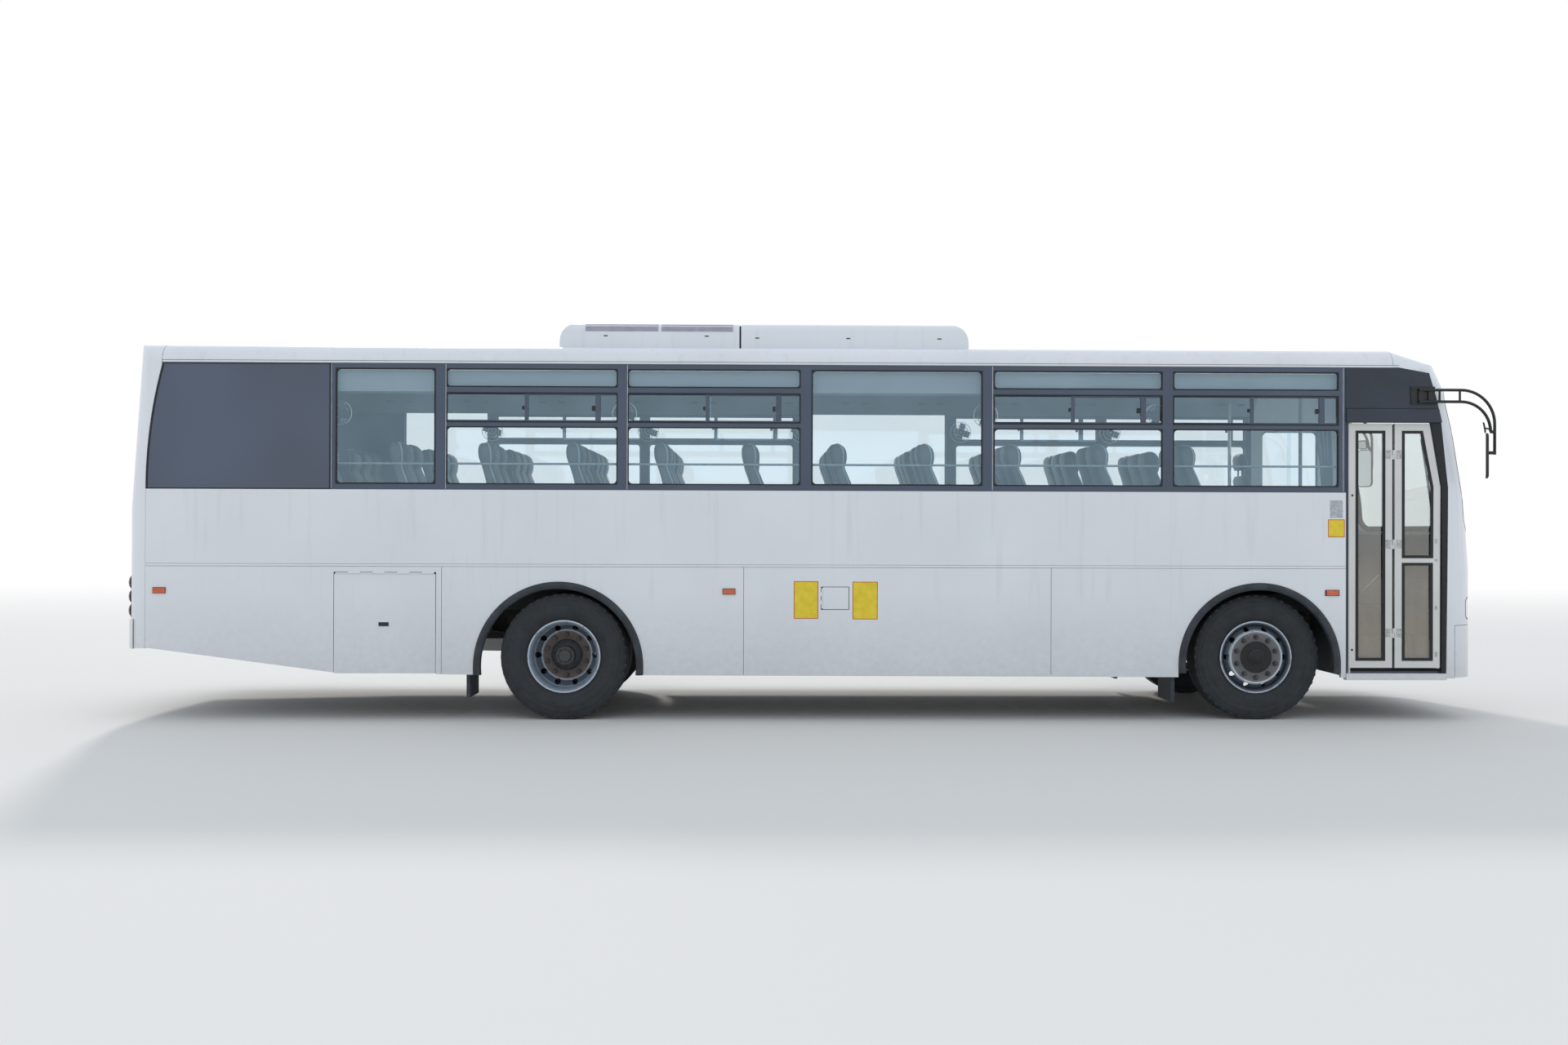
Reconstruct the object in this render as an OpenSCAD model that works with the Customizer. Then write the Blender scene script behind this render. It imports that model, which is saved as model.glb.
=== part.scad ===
// Passenger bus with a front engine, a jack-knife entrance door and a roof air-conditioner.
// Millimetres. X runs forward, Y to the left, Z up. Modules are written from the rear axle's
// centre line, and place() moves them so that the origin is under the middle of the whole box.

/* [Overall] */
// Distance between the axles
wheelbase = 5700; // [5200:50:6400]
// Rear axle to the rear face
rear_overhang = 3615; // [3200:15:4000]
// Front edge of the door opening to the middle of the nose
nose_depth = 388; // [340:2:430]
// Width over the side panels
body_w = 2500; // [2350:10:2600]
// Ground to the skirt's lower edge
skirt_z = 370; // [320:5:420]
// Ground to the seam between skirt and waist panel
seam_z = 1260; // [1200:5:1400]
// Ground to the bottom of the window band
sill_z = 1875; // [1700:5:2000]
// Top of the tyres to the saloon floor
floor_gap = 120; // [100:5:200]
// Height of the tail above the ground, at the end of the rising rear skirt
tail_z = 574; // [480:2:660]

/* [Walls] */
// Thickness of the framed side wall
wall_t = 55; // [45:1:65]
// Thickness of a skirt panel with its folded edge
skirt_t = 40; // [30:1:50]
// Depth of the window band behind the panels
band_step = 8; // [4:1:14]
// Radius of the cove between wall and roof
cove_r = 150; // [120:5:190]
// Radius of the roof's crown across the bus
crown_r = 12000; // [9000:500:16000]
// Thickness of the moulded front and rear ends
mask_t = 50; // [40:1:60]
// Radius of the front corners in plan
nose_corner_r = 300; // [240:10:340]
// Radius of the front's bow in plan
nose_bow_r = 8725; // [7000:250:12000]
// Lean of the front's lower screen zone in degrees
nose_lean = 4; // [2:0.5:5]
// Radius of the rear corners in plan
tail_corner_r = 175; // [160:5:200]
// Radius of the rear's bow in plan
tail_bow_r = 8985; // [8000:5:10000]
// Width of an open seam between panels
seam_gap = 4; // [2:0.5:8]

/* [Windows] */
// Length of one saloon window
window_w = 1390; // [1200:10:1500]
// Length of the short window at the rear
short_window_w = 806; // [600:2:1000]
// Width of a window post
post_w = 96; // [80:2:120]
// Height of the band's lower rail
rail_low = 48; // [40:2:60]
// Height of the fixed lower panes
low_pane_h = 467; // [400:1:560]
// Height of the bar over the lower panes
transom_h = 38; // [30:2:50]
// Height of the sliding sashes
sash_h = 240; // [200:5:300]
// Height of the bar over the sashes
top_bar_h = 48; // [36:2:60]
// Height of the fixed top panes
top_pane_h = 147; // [110:1:200]
// Height of the band's upper rail
rail_high = 42; // [30:2:55]
// Thickness of a pane
glass_t = 6; // [4:1:10]

/* [Door] */
// Width of the door opening
door_w = 785; // [700:5:860]
// Front arch to the door opening
door_post = 40; // [30:1:80]
// Thickness of a leaf
leaf_t = 35; // [30:1:40]
// Height of the leaves
leaf_h = 2010; // [1900:5:2150]
// Width of a leaf's frame bars
leaf_bar = 62; // [50:2:75]
// Length of the side hatch
hatch_w = 830; // [600:5:1000]
// Radius of the hinge barrels of hatch and flap
barrel_r = 6; // [5:0.5:8]

/* [Wheels] */
// Outer radius of a tyre
tyre_r = 515; // [460:1:560]
// Width of a tyre
tyre_w = 280; // [240:2:300]
// Bead seat radius of the rim
bead_r = 286; // [250:1:310]
// Width of the rim between its flanges
rim_w = 210; // [190:2:230]
// Body side to the middle plane of a front wheel
front_wheel_inset = 210; // [190:2:240]
// Body side to the middle plane of an outer rear wheel
rear_wheel_inset = 165; // [150:1:190]
// Spacing of the twin rear wheels
twin_pitch = 330; // [310:2:360]
// Kingpin to the wheel's middle plane
king_offset = 140; // [130:1:155]
// Steering arm's length
steer_arm = 180; // [160:5:200]
// Tyre to the outer edge of the rear arch's rubber lip
rear_arch_gap = 177; // [150:1:200]
// Tyre to the outer edge of the front arch's rubber lip
front_arch_gap = 155; // [150:1:180]
// Width of an arch's rubber lip
lip_w = 60; // [40:2:70]

/* [Chassis] */
// Wheel centres to the top of the frame rails
frame_rise = 345; // [320:5:380]
// Depth of a frame rail
rail_h = 250; // [220:5:270]
// Inner rear tyre to the frame rail
rail_gap = 150; // [135:5:180]
// Flange width of a rail
rail_flange = 70; // [60:2:80]
// Plate thickness of a rail
rail_t = 8; // [6:1:10]

/* [Seats] */
// Distance between seat rows
seat_pitch = 725; // [680:5:800]
// Width of one seat place
place_w = 400; // [370:5:430]
// Seat back's top above the floor
back_h = 1120; // [1000:10:1200]

/* [Air conditioner] */
// Height of the housings above the roof's crown
ac_h = 174; // [140:1:210]
// Width of the housings
ac_w = 1900; // [1700:20:2000]

/* [Hidden] */
$fn = 64;
eps = 0.3;                  // running gap of pieces that seat on each other
fit = 0.1;                  // radial clearance of a shaft in its bore
half_w = body_w / 2;
front_x = wheelbase;        // front axle
front_arch_r = tyre_r + front_arch_gap;
rear_arch_r = tyre_r + rear_arch_gap;
front_arch_z = tyre_r - 53;
rear_arch_z = tyre_r - 78;
front_arch_x = front_x + 2;
rear_arch_x = -40;
band_end_x = front_arch_x + front_arch_r + door_post;
nose_x = band_end_x + door_w + nose_depth;
floor_z = 2 * tyre_r + floor_gap;
band_top_z = sill_z + rail_low + low_pane_h + transom_h + sash_h + top_bar_h + top_pane_h + rail_high;
leaf_z0 = skirt_z + 65;
leaf_z1 = leaf_z0 + leaf_h;
door_top = leaf_z1 + 9;
front_wheel_y = half_w - front_wheel_inset;
rear_wheel_y = half_w - rear_wheel_inset;
kingpin_y = front_wheel_y - king_offset;
rail_top = tyre_r + frame_rise;
rail_y = rear_wheel_y - twin_pitch - tyre_w / 2 - rail_gap;
tail_x = -rear_overhang;
seam_rear_x = tail_x + 233; // rear mask meets the side panels
roof_end_x = band_end_x + 390;
roof_rear_x = tail_x + 360;
nose_low_z = skirt_z - 20;
lean_z = 1230;              // the front leans back above this height
dome_tilt = 17.6;
// Planes of lean: pivot height above the ground and tilt, each starting where the last one ends
NOSE_LEAN = [[lean_z, nose_lean], [sill_z - 25, 9.2], [band_top_z - 505, 13.5], [band_top_z - 145, 25]];
TAIL_LEAN = [[sill_z - 175, 3.8]];
band_y = half_w - band_step;
band_in_y = half_w - wall_t;
RIGHT = -1;
LEFT = 1;
white = [0.88, 0.88, 0.88];
black = [0.10, 0.11, 0.12];
steel = [0.16, 0.16, 0.17];
silver = [0.62, 0.63, 0.65];
glass = [0.55, 0.68, 0.70, 0.4];

// Corner arc's centre behind the nose of an outline whose end has a bow of radius big
function corner_back(hw, r, big) = big - sqrt(pow(big - r, 2) - pow(hw - r, 2));
nose_corner_x = nose_x - corner_back(half_w, nose_corner_r, nose_bow_r);
tail_corner_x = tail_x + corner_back(half_w, tail_corner_r, tail_bow_r);
// How far the lean has moved the face at the start of plane i
function lean_back(list, i) = i == 0 ? 0
    : lean_back(list, i - 1) + (list[i][0] - list[i - 1][0]) * tan(list[i - 1][1]);
crown_top_z = band_top_z + corner_back(half_w, cove_r, crown_r);
above_roof = crown_top_z + 300;
// Height of the roof's outer face, less inset, at a distance from the centre line
function roof_z(y, inset = 0) =
    crown_top_z - crown_r + sqrt(pow(crown_r - inset, 2) - y * y);

mirror_tip_x = nose_x + 62;
box_front_x = mirror_tip_x;
box_rear_x = tail_x - 14;
mid_x = (box_front_x + box_rear_x) / 2;

module place() {
    translate([-mid_x, 0, 0]) children();
}

// Boxes given by their low and high corners
module span(a, b) {
    translate(a) cube(b - a);
}

// A 2D drawing of x and height, given thickness between two distances from the centre line
module side_plate(y0, y1) {
    translate([0, max(y0, y1), 0]) rotate([90, 0, 0])
        linear_extrude(abs(y1 - y0)) children();
}

// A 2D drawing of y and height, drawn out between two places along the bus
module cross_plate(x0, x1) {
    translate([x0, 0, 0]) rotate([90, 0, 90]) linear_extrude(x1 - x0) children();
}

// Flat-sided outline that ends, towards +x, in a bow with tangent corner arcs
module bowed_end(hw, r, big, depth) {
    yc = hw - r;
    cx = -sqrt(pow(big - r, 2) - yc * yc);
    d = [-cx, yc] / (big - r);
    far = big + 200;
    translate([-depth, -hw]) square([depth, 2 * hw]);
    for (s = [-1, 1]) translate([0, s * yc]) circle(r, $fn = 96);
    intersection() {
        translate([cx, 0]) circle(big, $fn = 720);
        polygon([[0, -yc], [cx + far * d[0], -far * d[1]], [cx + far * d[0], far * d[1]], [0, yc]]);
    }
}

// Cross-section of the roof and walls, drawn in y and height
module roof_outline(inset = 0) {
    translate([0, band_top_z]) rotate(90)
        bowed_end(half_w - inset, cove_r - inset, crown_r - inset, band_top_z - 200);
}

module roof_prism(x0, x1, inset = 0) {
    cross_plate(x0, x1) roof_outline(inset);
}

// The roof's form tilted forward or backward about a point at its crown's edge
module tilted_roof(x, z, tilt, inset, x0, x1) {
    translate([x, 0, z]) rotate([0, tilt, 0]) translate([-x, 0, -z]) roof_prism(x0, x1, inset);
}

// Solid form of the front end: bowed in plan, leaning back in planes, under the sloping dome
module front_form(inset = 0) {
    intersection() {
        linear_extrude(above_roof) nose_plan(inset);
        front_lean(0, inset);
        front_lean(1, inset);
        front_lean(2, inset);
        front_lean(3, inset);
        tilted_roof(roof_end_x + 2, crown_top_z + 6, dome_tilt, inset - 2, front_x - 2200, nose_x + 900);
    }
}

module front_lean(i, inset) {
    x = nose_x - lean_back(NOSE_LEAN, i);
    z = NOSE_LEAN[i][0];
    translate([x, 0, z]) rotate([0, -NOSE_LEAN[i][1], 0]) translate([-nose_x, 0, -above_roof])
        linear_extrude(2 * above_roof) nose_plan(inset - 1 - i / 2, 4000);
}

// Solid form of the rear end
module rear_form(inset = 0) {
    intersection() {
        linear_extrude(above_roof) tail_plan(inset);
        rear_lean(0, inset);
        roof_prism(tail_x - 100, tail_x + 1000, inset - 1);
        tilted_roof(tail_x + 165, crown_top_z - 71, -36, inset - 2, tail_x - 2600, tail_x + 2500);
    }
}

module rear_lean(i, inset) {
    x = tail_x + lean_back(TAIL_LEAN, i);
    z = TAIL_LEAN[i][0];
    translate([x, 0, z]) rotate([0, TAIL_LEAN[i][1], 0]) translate([-tail_x, 0, -above_roof])
        linear_extrude(2 * above_roof) tail_plan(inset - 1 - i / 2, 3000);
}

// A round bar from one point to another
module rod(a, b, r) {
    d = b - a;
    translate(a) rotate([0, acos(d[2] / norm(d)), atan2(d[1], d[0])]) cylinder(h = norm(d), r = r);
}

module on_side(side) {
    mirror([0, side == RIGHT ? 1 : 0, 0]) children();
}

// A cylinder lying across the bus between two distances from the centre line
module cross_cylinder(x, z, y0, y1, r) {
    translate([x, y1, z]) rotate([90, 0, 0]) cylinder(h = y1 - y0, r = r, $fn = 96);
}

module nose_plan(inset = 0, depth = 1300) {
    translate([nose_corner_x, 0])
        bowed_end(half_w - inset, nose_corner_r - inset, nose_bow_r - inset, depth);
}

module tail_plan(inset = 0, depth = 900) {
    rotate(180) translate([-tail_corner_x, 0])
        bowed_end(half_w - inset, tail_corner_r - inset, tail_bow_r - inset, depth);
}

// Frame and axles
front_eye_z = rail_top - rail_h - 35;
rear_eye_z = rail_top - rail_h + 80;
front_spring = 650;               // half lengths of the leaf springs
rear_spring = 720;
HANGERS = [[front_x + front_spring, front_eye_z], [front_x - front_spring, front_eye_z],
    [rear_spring, rear_eye_z], [-rear_spring, rear_eye_z]];
CROSSMEMBERS = [nose_x - 260, front_x - 800, front_x - 1800, front_x - 2800, 1900, 1050, -1050, -2200,
    tail_x + 300];
cross_low_z = rail_top - 100;
tow_reach = 145;
spring_y0 = rail_y + 14;
spring_y1 = rail_y + 84;

module rail(x0, x1) {
    difference() {
        span([x0, rail_y - rail_flange, rail_top - rail_h], [x1, rail_y, rail_top]);
        span([x0 - 1, rail_y - rail_flange - 1, rail_top - rail_h + rail_t],
             [x1 + 1, rail_y - rail_t, rail_top - rail_t]);
    }
}

// A flat towing jaw under a crossmember, with an upright hole for the pin
module tow_eye(x, dir) {
    tip = x + tow_reach * dir;
    difference() {
        union() {
            span([x - 40, -45, 540], [x + 40, 45, cross_low_z + 1]);
            span([min(x, tip), -55, 540], [max(x, tip), 55, 568]);
            translate([tip, 0, 540]) cylinder(h = 28, r = 55);
        }
        translate([tip, 0, 530]) cylinder(h = 50, r = 25);
    }
}

module chassis_frame() {
    color(steel) place() {
        for (side = [RIGHT, LEFT]) on_side(side) {
            rail(tail_x + 130, nose_x - 130);
            for (h = HANGERS) {
                side_plate(rail_y, rail_y + 12) polygon([[h[0] - 70, rail_top - 40],
                    [h[0] + 70, rail_top - 40], [h[0] + 30, h[1] - 30], [h[0] - 30, h[1] - 30]]);
                cross_cylinder(h[0], h[1], rail_y + 6, spring_y1 + 6, 14);
            }
        }
        for (x = CROSSMEMBERS) span([x - 45, -rail_y + rail_t + eps, cross_low_z],
            [x + 45, rail_y - rail_t - eps, rail_top - rail_t - 5]);
        tow_eye(nose_x - 260, 1);
        tow_eye(tail_x + 300, -1);
    }
}

// One leaf spring in side view, its eyes at the same height, its pack under the middle
module spring_profile(seat_z, leaves, eye_z, span_x) {
    sag = eye_z - seat_z;
    r = (span_x * span_x + sag * sag) / (2 * sag);
    difference() {
        union() {
            for (i = [0 : leaves - 1]) intersection() {
                translate([0, eye_z - sag + r]) difference() {
                    circle(r + 14 * i + 7, $fn = 720);
                    circle(r + 14 * i - 7.1, $fn = 720);
                }
                translate([-(span_x - 110 * i), seat_z - 200]) square([2 * (span_x - 110 * i), 600]);
            }
            for (s = [-1, 1]) translate([s * span_x, eye_z]) circle(28);
        }
        for (s = [-1, 1]) translate([s * span_x, eye_z]) circle(14 + fit);
    }
}

module leaf_springs(x, seat_z, leaves, eye_z, span_x) {
    for (side = [RIGHT, LEFT]) on_side(side)
        translate([x, 0, 0]) side_plate(spring_y0, spring_y1) spring_profile(seat_z, leaves, eye_z, span_x);
}

module front_axle() {
    color(steel) place() {
        translate([front_x - 45, 0, 0]) cross_plate(0, 90) polygon([
            [-kingpin_y - 28, tyre_r - 35], [-kingpin_y - 28, tyre_r + 35], [140 - kingpin_y, tyre_r + 35],
            [300 - kingpin_y, tyre_r - 60], [kingpin_y - 300, tyre_r - 60], [kingpin_y - 140, tyre_r + 35],
            [kingpin_y + 28, tyre_r + 35], [kingpin_y + 28, tyre_r - 35], [kingpin_y - 160, tyre_r - 35],
            [kingpin_y - 320, tyre_r - 130], [320 - kingpin_y, tyre_r - 130],
            [160 - kingpin_y, tyre_r - 35]]);
        for (side = [RIGHT, LEFT]) on_side(side) {
            translate([front_x, kingpin_y, tyre_r - 90]) cylinder(h = 180, r = 20);
            translate([front_x, kingpin_y, tyre_r - 35]) cylinder(h = 70, r = 44);
            span([front_x - 60, spring_y0 - 5, tyre_r - 75], [front_x + 60, spring_y1 + 5, tyre_r + 7]);
        }
        leaf_springs(front_x, tyre_r - 15, 4, front_eye_z, front_spring);
    }
}

module rear_axle() {
    color(steel) place() {
        cross_cylinder(0, tyre_r, -rail_y - 155, rail_y + 155, 75);
        cross_cylinder(0, tyre_r, -rear_wheel_y - 60, rear_wheel_y + 60, 45);
        translate([0, 0, tyre_r]) sphere(r = 215);
        translate([150, 0, tyre_r]) rotate([0, 90, 0]) cylinder(h = flange_x - 150, r = 70);
        for (side = [RIGHT, LEFT]) on_side(side)
            span([-70, spring_y0 - 5, tyre_r], [70, spring_y1 + 5, tyre_r + 95]);
        leaf_springs(0, tyre_r + 95, 5, rear_eye_z, rear_spring);
    }
}

flange_x = 340;
shaft_z = rail_top - 160;
module driveline() {
    color([0.35, 0.36, 0.36]) place() {
        span([front_x + 250, -225, rail_top - 300], [front_x + 1350, 225, floor_z + 150]);
        span([front_x - 40, -240, rail_top - 340], [front_x + 251, 240, rail_top + 140]);
        translate([front_x - 650, 0, shaft_z]) rotate([0, 90, 0]) cylinder(h = 611, r = 150);
        span([nose_x - 215 + eps, -225, rail_top - 220], [nose_x - 150, 380, floor_z + 140]);
        for (x = [front_x + 330, front_x + 1050])
            span([x, -rail_y + rail_t + eps, rail_top - rail_h + rail_t + eps],
            [x + 70, rail_y - rail_t - eps, rail_top - rail_h + 55]);
        rod([flange_x + 6, 0, tyre_r], [front_x - 649, 0, shaft_z], 50);
    }
}

tank_x = 1750;
tank_z = rail_top - 340;
TANK_STRAPS = [tank_x + 150, tank_x + 730];
module fuel_tank() {
    color(steel) place() {
        difference() {
            side_plate(80 - half_w, -rail_y - 95) translate([tank_x, tank_z]) offset_square(900, 380, 60);
            for (x = TANK_STRAPS) span([x, 79 - half_w, tank_z - 20], [x + 40, 84 - half_w, tank_z + 400]);
        }
        for (x = TANK_STRAPS) span([x, -rail_y - 96, tank_z + 120], [x + 40, -rail_y - eps, tank_z + 180]);
    }
}

module offset_square(w, h, r) {
    translate([r, 0]) square([w - 2 * r, h]);
    translate([0, r]) square([w, h - 2 * r]);
    for (x = [r, w - r]) for (z = [r, h - r]) translate([x, z]) circle(r);
}

silencer_x = front_x - 3200;
module silencer() {
    color(steel) place() {
        y = rail_y + 275;
        z = rail_top - 220;
        bend_x = front_x - 800;
        translate([silencer_x, y, z]) rotate([0, 90, 0]) cylinder(h = 1100, r = 130);
        rod([silencer_x + 1090, y, z], [bend_x, y, z], 40);
        rod([bend_x, y, z], [bend_x, rail_y + 95, z], 40);
        translate([bend_x, y, z]) sphere(r = 42);
        rod([silencer_x - 1200, y, z], [silencer_x + 10, y, z], 40);
        for (x = [silencer_x + 120, silencer_x + 900])
            span([x, rail_y + eps, z + 40], [x + 40, y - 90, z + 80]);
    }
}

// Floor, entrance steps and the bearers that carry them on the frame
step_x0 = band_end_x + 7;
step_x1 = nose_x - 285;
well_y = 240;                    // inner side of the step well
step_rise = 250;
floor_t = 60;
// Treads of the entrance: outer and inner edge from the centre line
step_mid_y = (half_w - 480 + well_y) / 2;
TREADS = [[half_w - 60, half_w - 480], [half_w - 480, step_mid_y], [step_mid_y, well_y]];
BEARERS = [tail_x + 300, -2500, -1500, 1000, 1900, front_x - 2900, front_x - 2000, front_x - 1000];
module floor_deck() {
    color([0.45, 0.45, 0.45]) place() {
        difference() {
            intersection() {
                translate([0, 0, floor_z - floor_t]) linear_extrude(floor_t) union() {
                    nose_plan(mask_t + eps);
                    translate([tail_x + 800, -band_in_y + eps])
                        square([nose_x - 1400 - tail_x - 800, 2 * band_in_y - 2 * eps]);
                    tail_plan(mask_t + eps);
                }
                span([tail_x, -half_w, 900], [nose_x, half_w, floor_z]);
            }
            span([step_x0, -half_w - 1, floor_z - floor_t - 10], [step_x1, -well_y, floor_z + 1]);
            span([front_x + 200, 4 - well_y, floor_z - floor_t - 10], [nose_x - 120, 390, floor_z + 1]);
        }
        for (i = [0 : 2]) {
            y0 = -TREADS[i][0] - (i == 0 ? 0 : 10);
            y1 = -TREADS[i][1];
            z = floor_z - 745 + step_rise * i;
            span([step_x0 + 6, y0, z - 40], [step_x1, y1, z]);
            span([step_x0 + 6, y1 - 10, z - 40], [step_x1, y1, i == 2 ? floor_z - 39 : z + step_rise - 39]);
        }
        span([step_x0 - 14, 60 - half_w, floor_z - 785], [step_x0 + 7, -spring_y1 - 20, floor_z - 30]);
        span([step_x0 - 14, -spring_y1 - 21, floor_z - 495], [step_x0 + 7, -rail_y - 14, floor_z - 30]);
        span([step_x0 - 14, -rail_y - 15, rail_top + eps], [step_x0 + 7, -well_y, floor_z - 30]);
        for (x = BEARERS) span([x - 40, -band_in_y + eps, floor_z - 140],
            [x + 40, band_in_y - eps, floor_z - floor_t - eps]);
        for (side = [RIGHT, LEFT]) on_side(side)
            span([tail_x + 200, rail_y - 60, rail_top + eps],
                [band_end_x - 32, rail_y, floor_z - 140 - eps]);
    }
}

// Side walls
SEAMS = [rear_arch_x + 1508, front_x - 1716];
// Windows from the front: more than window_w, more than post_w in front of it, sliding sashes in it
WINDOW_ROWS = [[-26, -37, 1], [-6, -5, 1], [8, 0, 0], [16, -2, 1], [-2, -9, 1],
    [short_window_w - window_w, -5, 0]];
function window_end(i) = (i == 0 ? band_end_x : window_end(i - 1) - window_w - WINDOW_ROWS[i - 1][0])
    - post_w - WINDOW_ROWS[i][1];
WINDOWS = [for (i = [0 : 5]) [window_end(i) - window_w - WINDOW_ROWS[i][0], window_w + WINDOW_ROWS[i][0],
    WINDOW_ROWS[i][2]]];
quarter_x = WINDOWS[5][0] - 53;
low_z = sill_z + rail_low;
low_top_z = low_z + low_pane_h;
sash_z = low_top_z + transom_h;
top_pane_z = sash_z + sash_h + top_bar_h;
high_z = band_top_z - rail_high;

module arch_hole(x, z, r) {
    translate([x, z]) circle(r, $fn = 180);
    translate([x - r, z - 400]) square([2 * r, 400]);
}

module side_panels() {
    difference() {
        union() {
            side_plate(half_w - skirt_t, half_w) difference() {
                polygon([[seam_rear_x, tail_z + 12], [HATCH[0] + 13, skirt_z + 15],
                    [rear_arch_x - rear_arch_r, skirt_z], [band_end_x, skirt_z - 15], [band_end_x, seam_z],
                    [seam_rear_x, seam_z]]);
                arch_hole(rear_arch_x, rear_arch_z, rear_arch_r);
                arch_hole(front_arch_x, front_arch_z, front_arch_r);
            }
            side_plate(half_w - wall_t, half_w)
                translate([seam_rear_x, seam_z]) square([band_end_x - seam_rear_x, sill_z - seam_z]);
        }
        span([seam_rear_x - 1, half_w - 3, seam_z - 2], [band_end_x + 1, half_w + 1, seam_z + 2]);
        for (x = SEAMS) span([x - 1.5, half_w - 3, 200], [x + 1.5, half_w + 1, seam_z]);
    }
}

// Openings in the skirt: rear, low, front and high edge
hatch_x1 = rear_arch_x - rear_arch_r - 301;
HATCH = [hatch_x1 - hatch_w, skirt_z + 2, hatch_x1, seam_z - 60];
FLAP = [tank_x + 353, seam_z - 356, tank_x + 580, seam_z - 167];
hatch_hinge_z = HATCH[3] - barrel_r;
flap_hinge_x = FLAP[0] + barrel_r;
hinge_axis_y = half_w + 1;
// Barrel pieces along the two hinges: every second one turns with the door
HATCH_KNUCKLES = 8;
hatch_knuckle = (hatch_w - 30) / HATCH_KNUCKLES;
FLAP_KNUCKLES = 5;
flap_knuckle = (FLAP[3] - FLAP[1] - 20) / FLAP_KNUCKLES;

// Barrels of the hatch's hinge: turn 0 for those on the hatch, 1 for those on the wall
module hatch_barrels(turn) {
    for (i = [turn : 2 : HATCH_KNUCKLES - 1]) {
        x = HATCH[0] + 15 + i * hatch_knuckle + 0.5;
        x1 = x + hatch_knuckle - 1;
        translate([x, hinge_axis_y, hatch_hinge_z]) rotate([0, 90, 0]) cylinder(h = x1 - x, r = barrel_r);
        if (turn == 1) span([x, half_w - 3, hatch_hinge_z], [x1, half_w + 2, HATCH[3] + seam_gap + 3]);
        if (turn == 0) span([x, half_w - 3, hatch_hinge_z - barrel_r - 2], [x1, half_w + 2, hatch_hinge_z]);
    }
}

// Barrels of the flap's hinge, in the same way
module flap_barrels(turn) {
    for (i = [turn : 2 : FLAP_KNUCKLES - 1]) {
        z = FLAP[1] + 10 + i * flap_knuckle + 0.5;
        z1 = z + flap_knuckle - 1;
        translate([flap_hinge_x, hinge_axis_y, z]) cylinder(h = z1 - z, r = barrel_r);
        if (turn == 1) span([FLAP[0] - seam_gap - 3, half_w - 3, z], [flap_hinge_x, half_w + 2, z1]);
        if (turn == 0) span([flap_hinge_x, half_w - 3, z], [flap_hinge_x + barrel_r + 2, half_w + 2, z1]);
    }
}

module side_panels_right() {
    color(white) place() mirror([0, 1, 0]) difference() {
        side_panels();
        span([HATCH[0], half_w - 80, 0], [HATCH[2], half_w + 1, HATCH[3] + seam_gap]);
        span([FLAP[0] - seam_gap, half_w - 80, FLAP[1]], [FLAP[2], half_w + 1, FLAP[3]]);
    }
    color(white) place() mirror([0, 1, 0]) {
        hatch_barrels(1);
        flap_barrels(1);
        translate([HATCH[0] + 15, hinge_axis_y, hatch_hinge_z]) rotate([0, 90, 0])
            cylinder(h = hatch_w - 30, r = 2.5);
        translate([flap_hinge_x, hinge_axis_y, FLAP[1] + 10]) cylinder(h = FLAP[3] - FLAP[1] - 20, r = 2.5);
    }
}

module side_panels_left() {
    color(white) place() side_panels();
}

// The band's outline in side view, bounded at the rear by an arc
module band_outline() {
    difference() {
        translate([seam_rear_x, sill_z + eps])
            square([band_end_x - seam_rear_x, band_top_z - sill_z - 2 * eps]);
        difference() {
            translate([seam_rear_x - 10, sill_z]) square([300, 1500]);
            translate([seam_rear_x + 4000, sill_z]) circle(4000, $fn = 1440);
        }
    }
}

module window_band() {
    difference() {
        side_plate(band_in_y, band_y) band_outline();
        for (w = WINDOWS) {
            if (w[2] == 0) span([w[0], 0, low_z], [w[0] + w[1], half_w, high_z]);
            if (w[2] == 1) {
                span([w[0], 0, low_z], [w[0] + w[1], half_w, low_top_z]);
                span([w[0], 0, sash_z], [w[0] + w[1], half_w, sash_z + sash_h]);
                span([w[0], 0, top_pane_z], [w[0] + w[1], half_w, high_z]);
            }
        }
        side_plate(band_y - 6, half_w) quarter_outline(-eps);
    }
}

module quarter_outline(inset) {
    intersection() {
        translate([seam_rear_x - 10, sill_z + 8 + inset])
            square([quarter_x - seam_rear_x + 10 - inset, band_top_z - sill_z - 16 - 2 * inset]);
        translate([seam_rear_x + 4000, sill_z]) circle(3990 - inset, $fn = 1440);
    }
}

module window_band_right() {
    color(black) place() mirror([0, 1, 0]) window_band();
}

module window_band_left() {
    color(black) place() window_band();
}

module pane(x0, z0, x1, z1, y) {
    span([x0 + eps, y, z0 + eps], [x1 - eps, y + glass_t, z1 - eps]);
}

module side_glass() {
    y = band_y - 14;
    for (w = WINDOWS) {
        x0 = w[0];
        x1 = w[0] + w[1];
        if (w[2] == 0) pane(x0, low_z, x1, high_z, y);
        if (w[2] == 1) {
            pane(x0, low_z, x1, low_top_z, y);
            pane(x0, sash_z, x0 + w[1] * 0.48, sash_z + sash_h, y);
            pane(x0 + w[1] * 0.46, sash_z, x1, sash_z + sash_h, y - 14);
            pane(x0, top_pane_z, x1, high_z, y);
        }
    }
}

module side_glass_right() {
    color(glass) place() mirror([0, 1, 0]) side_glass();
}

module side_glass_left() {
    color(glass) place() side_glass();
}

module quarter_panels() {
    color(black) place() for (side = [RIGHT, LEFT]) on_side(side)
        side_plate(band_y - 6 + eps, band_y) quarter_outline(0);
}

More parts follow.
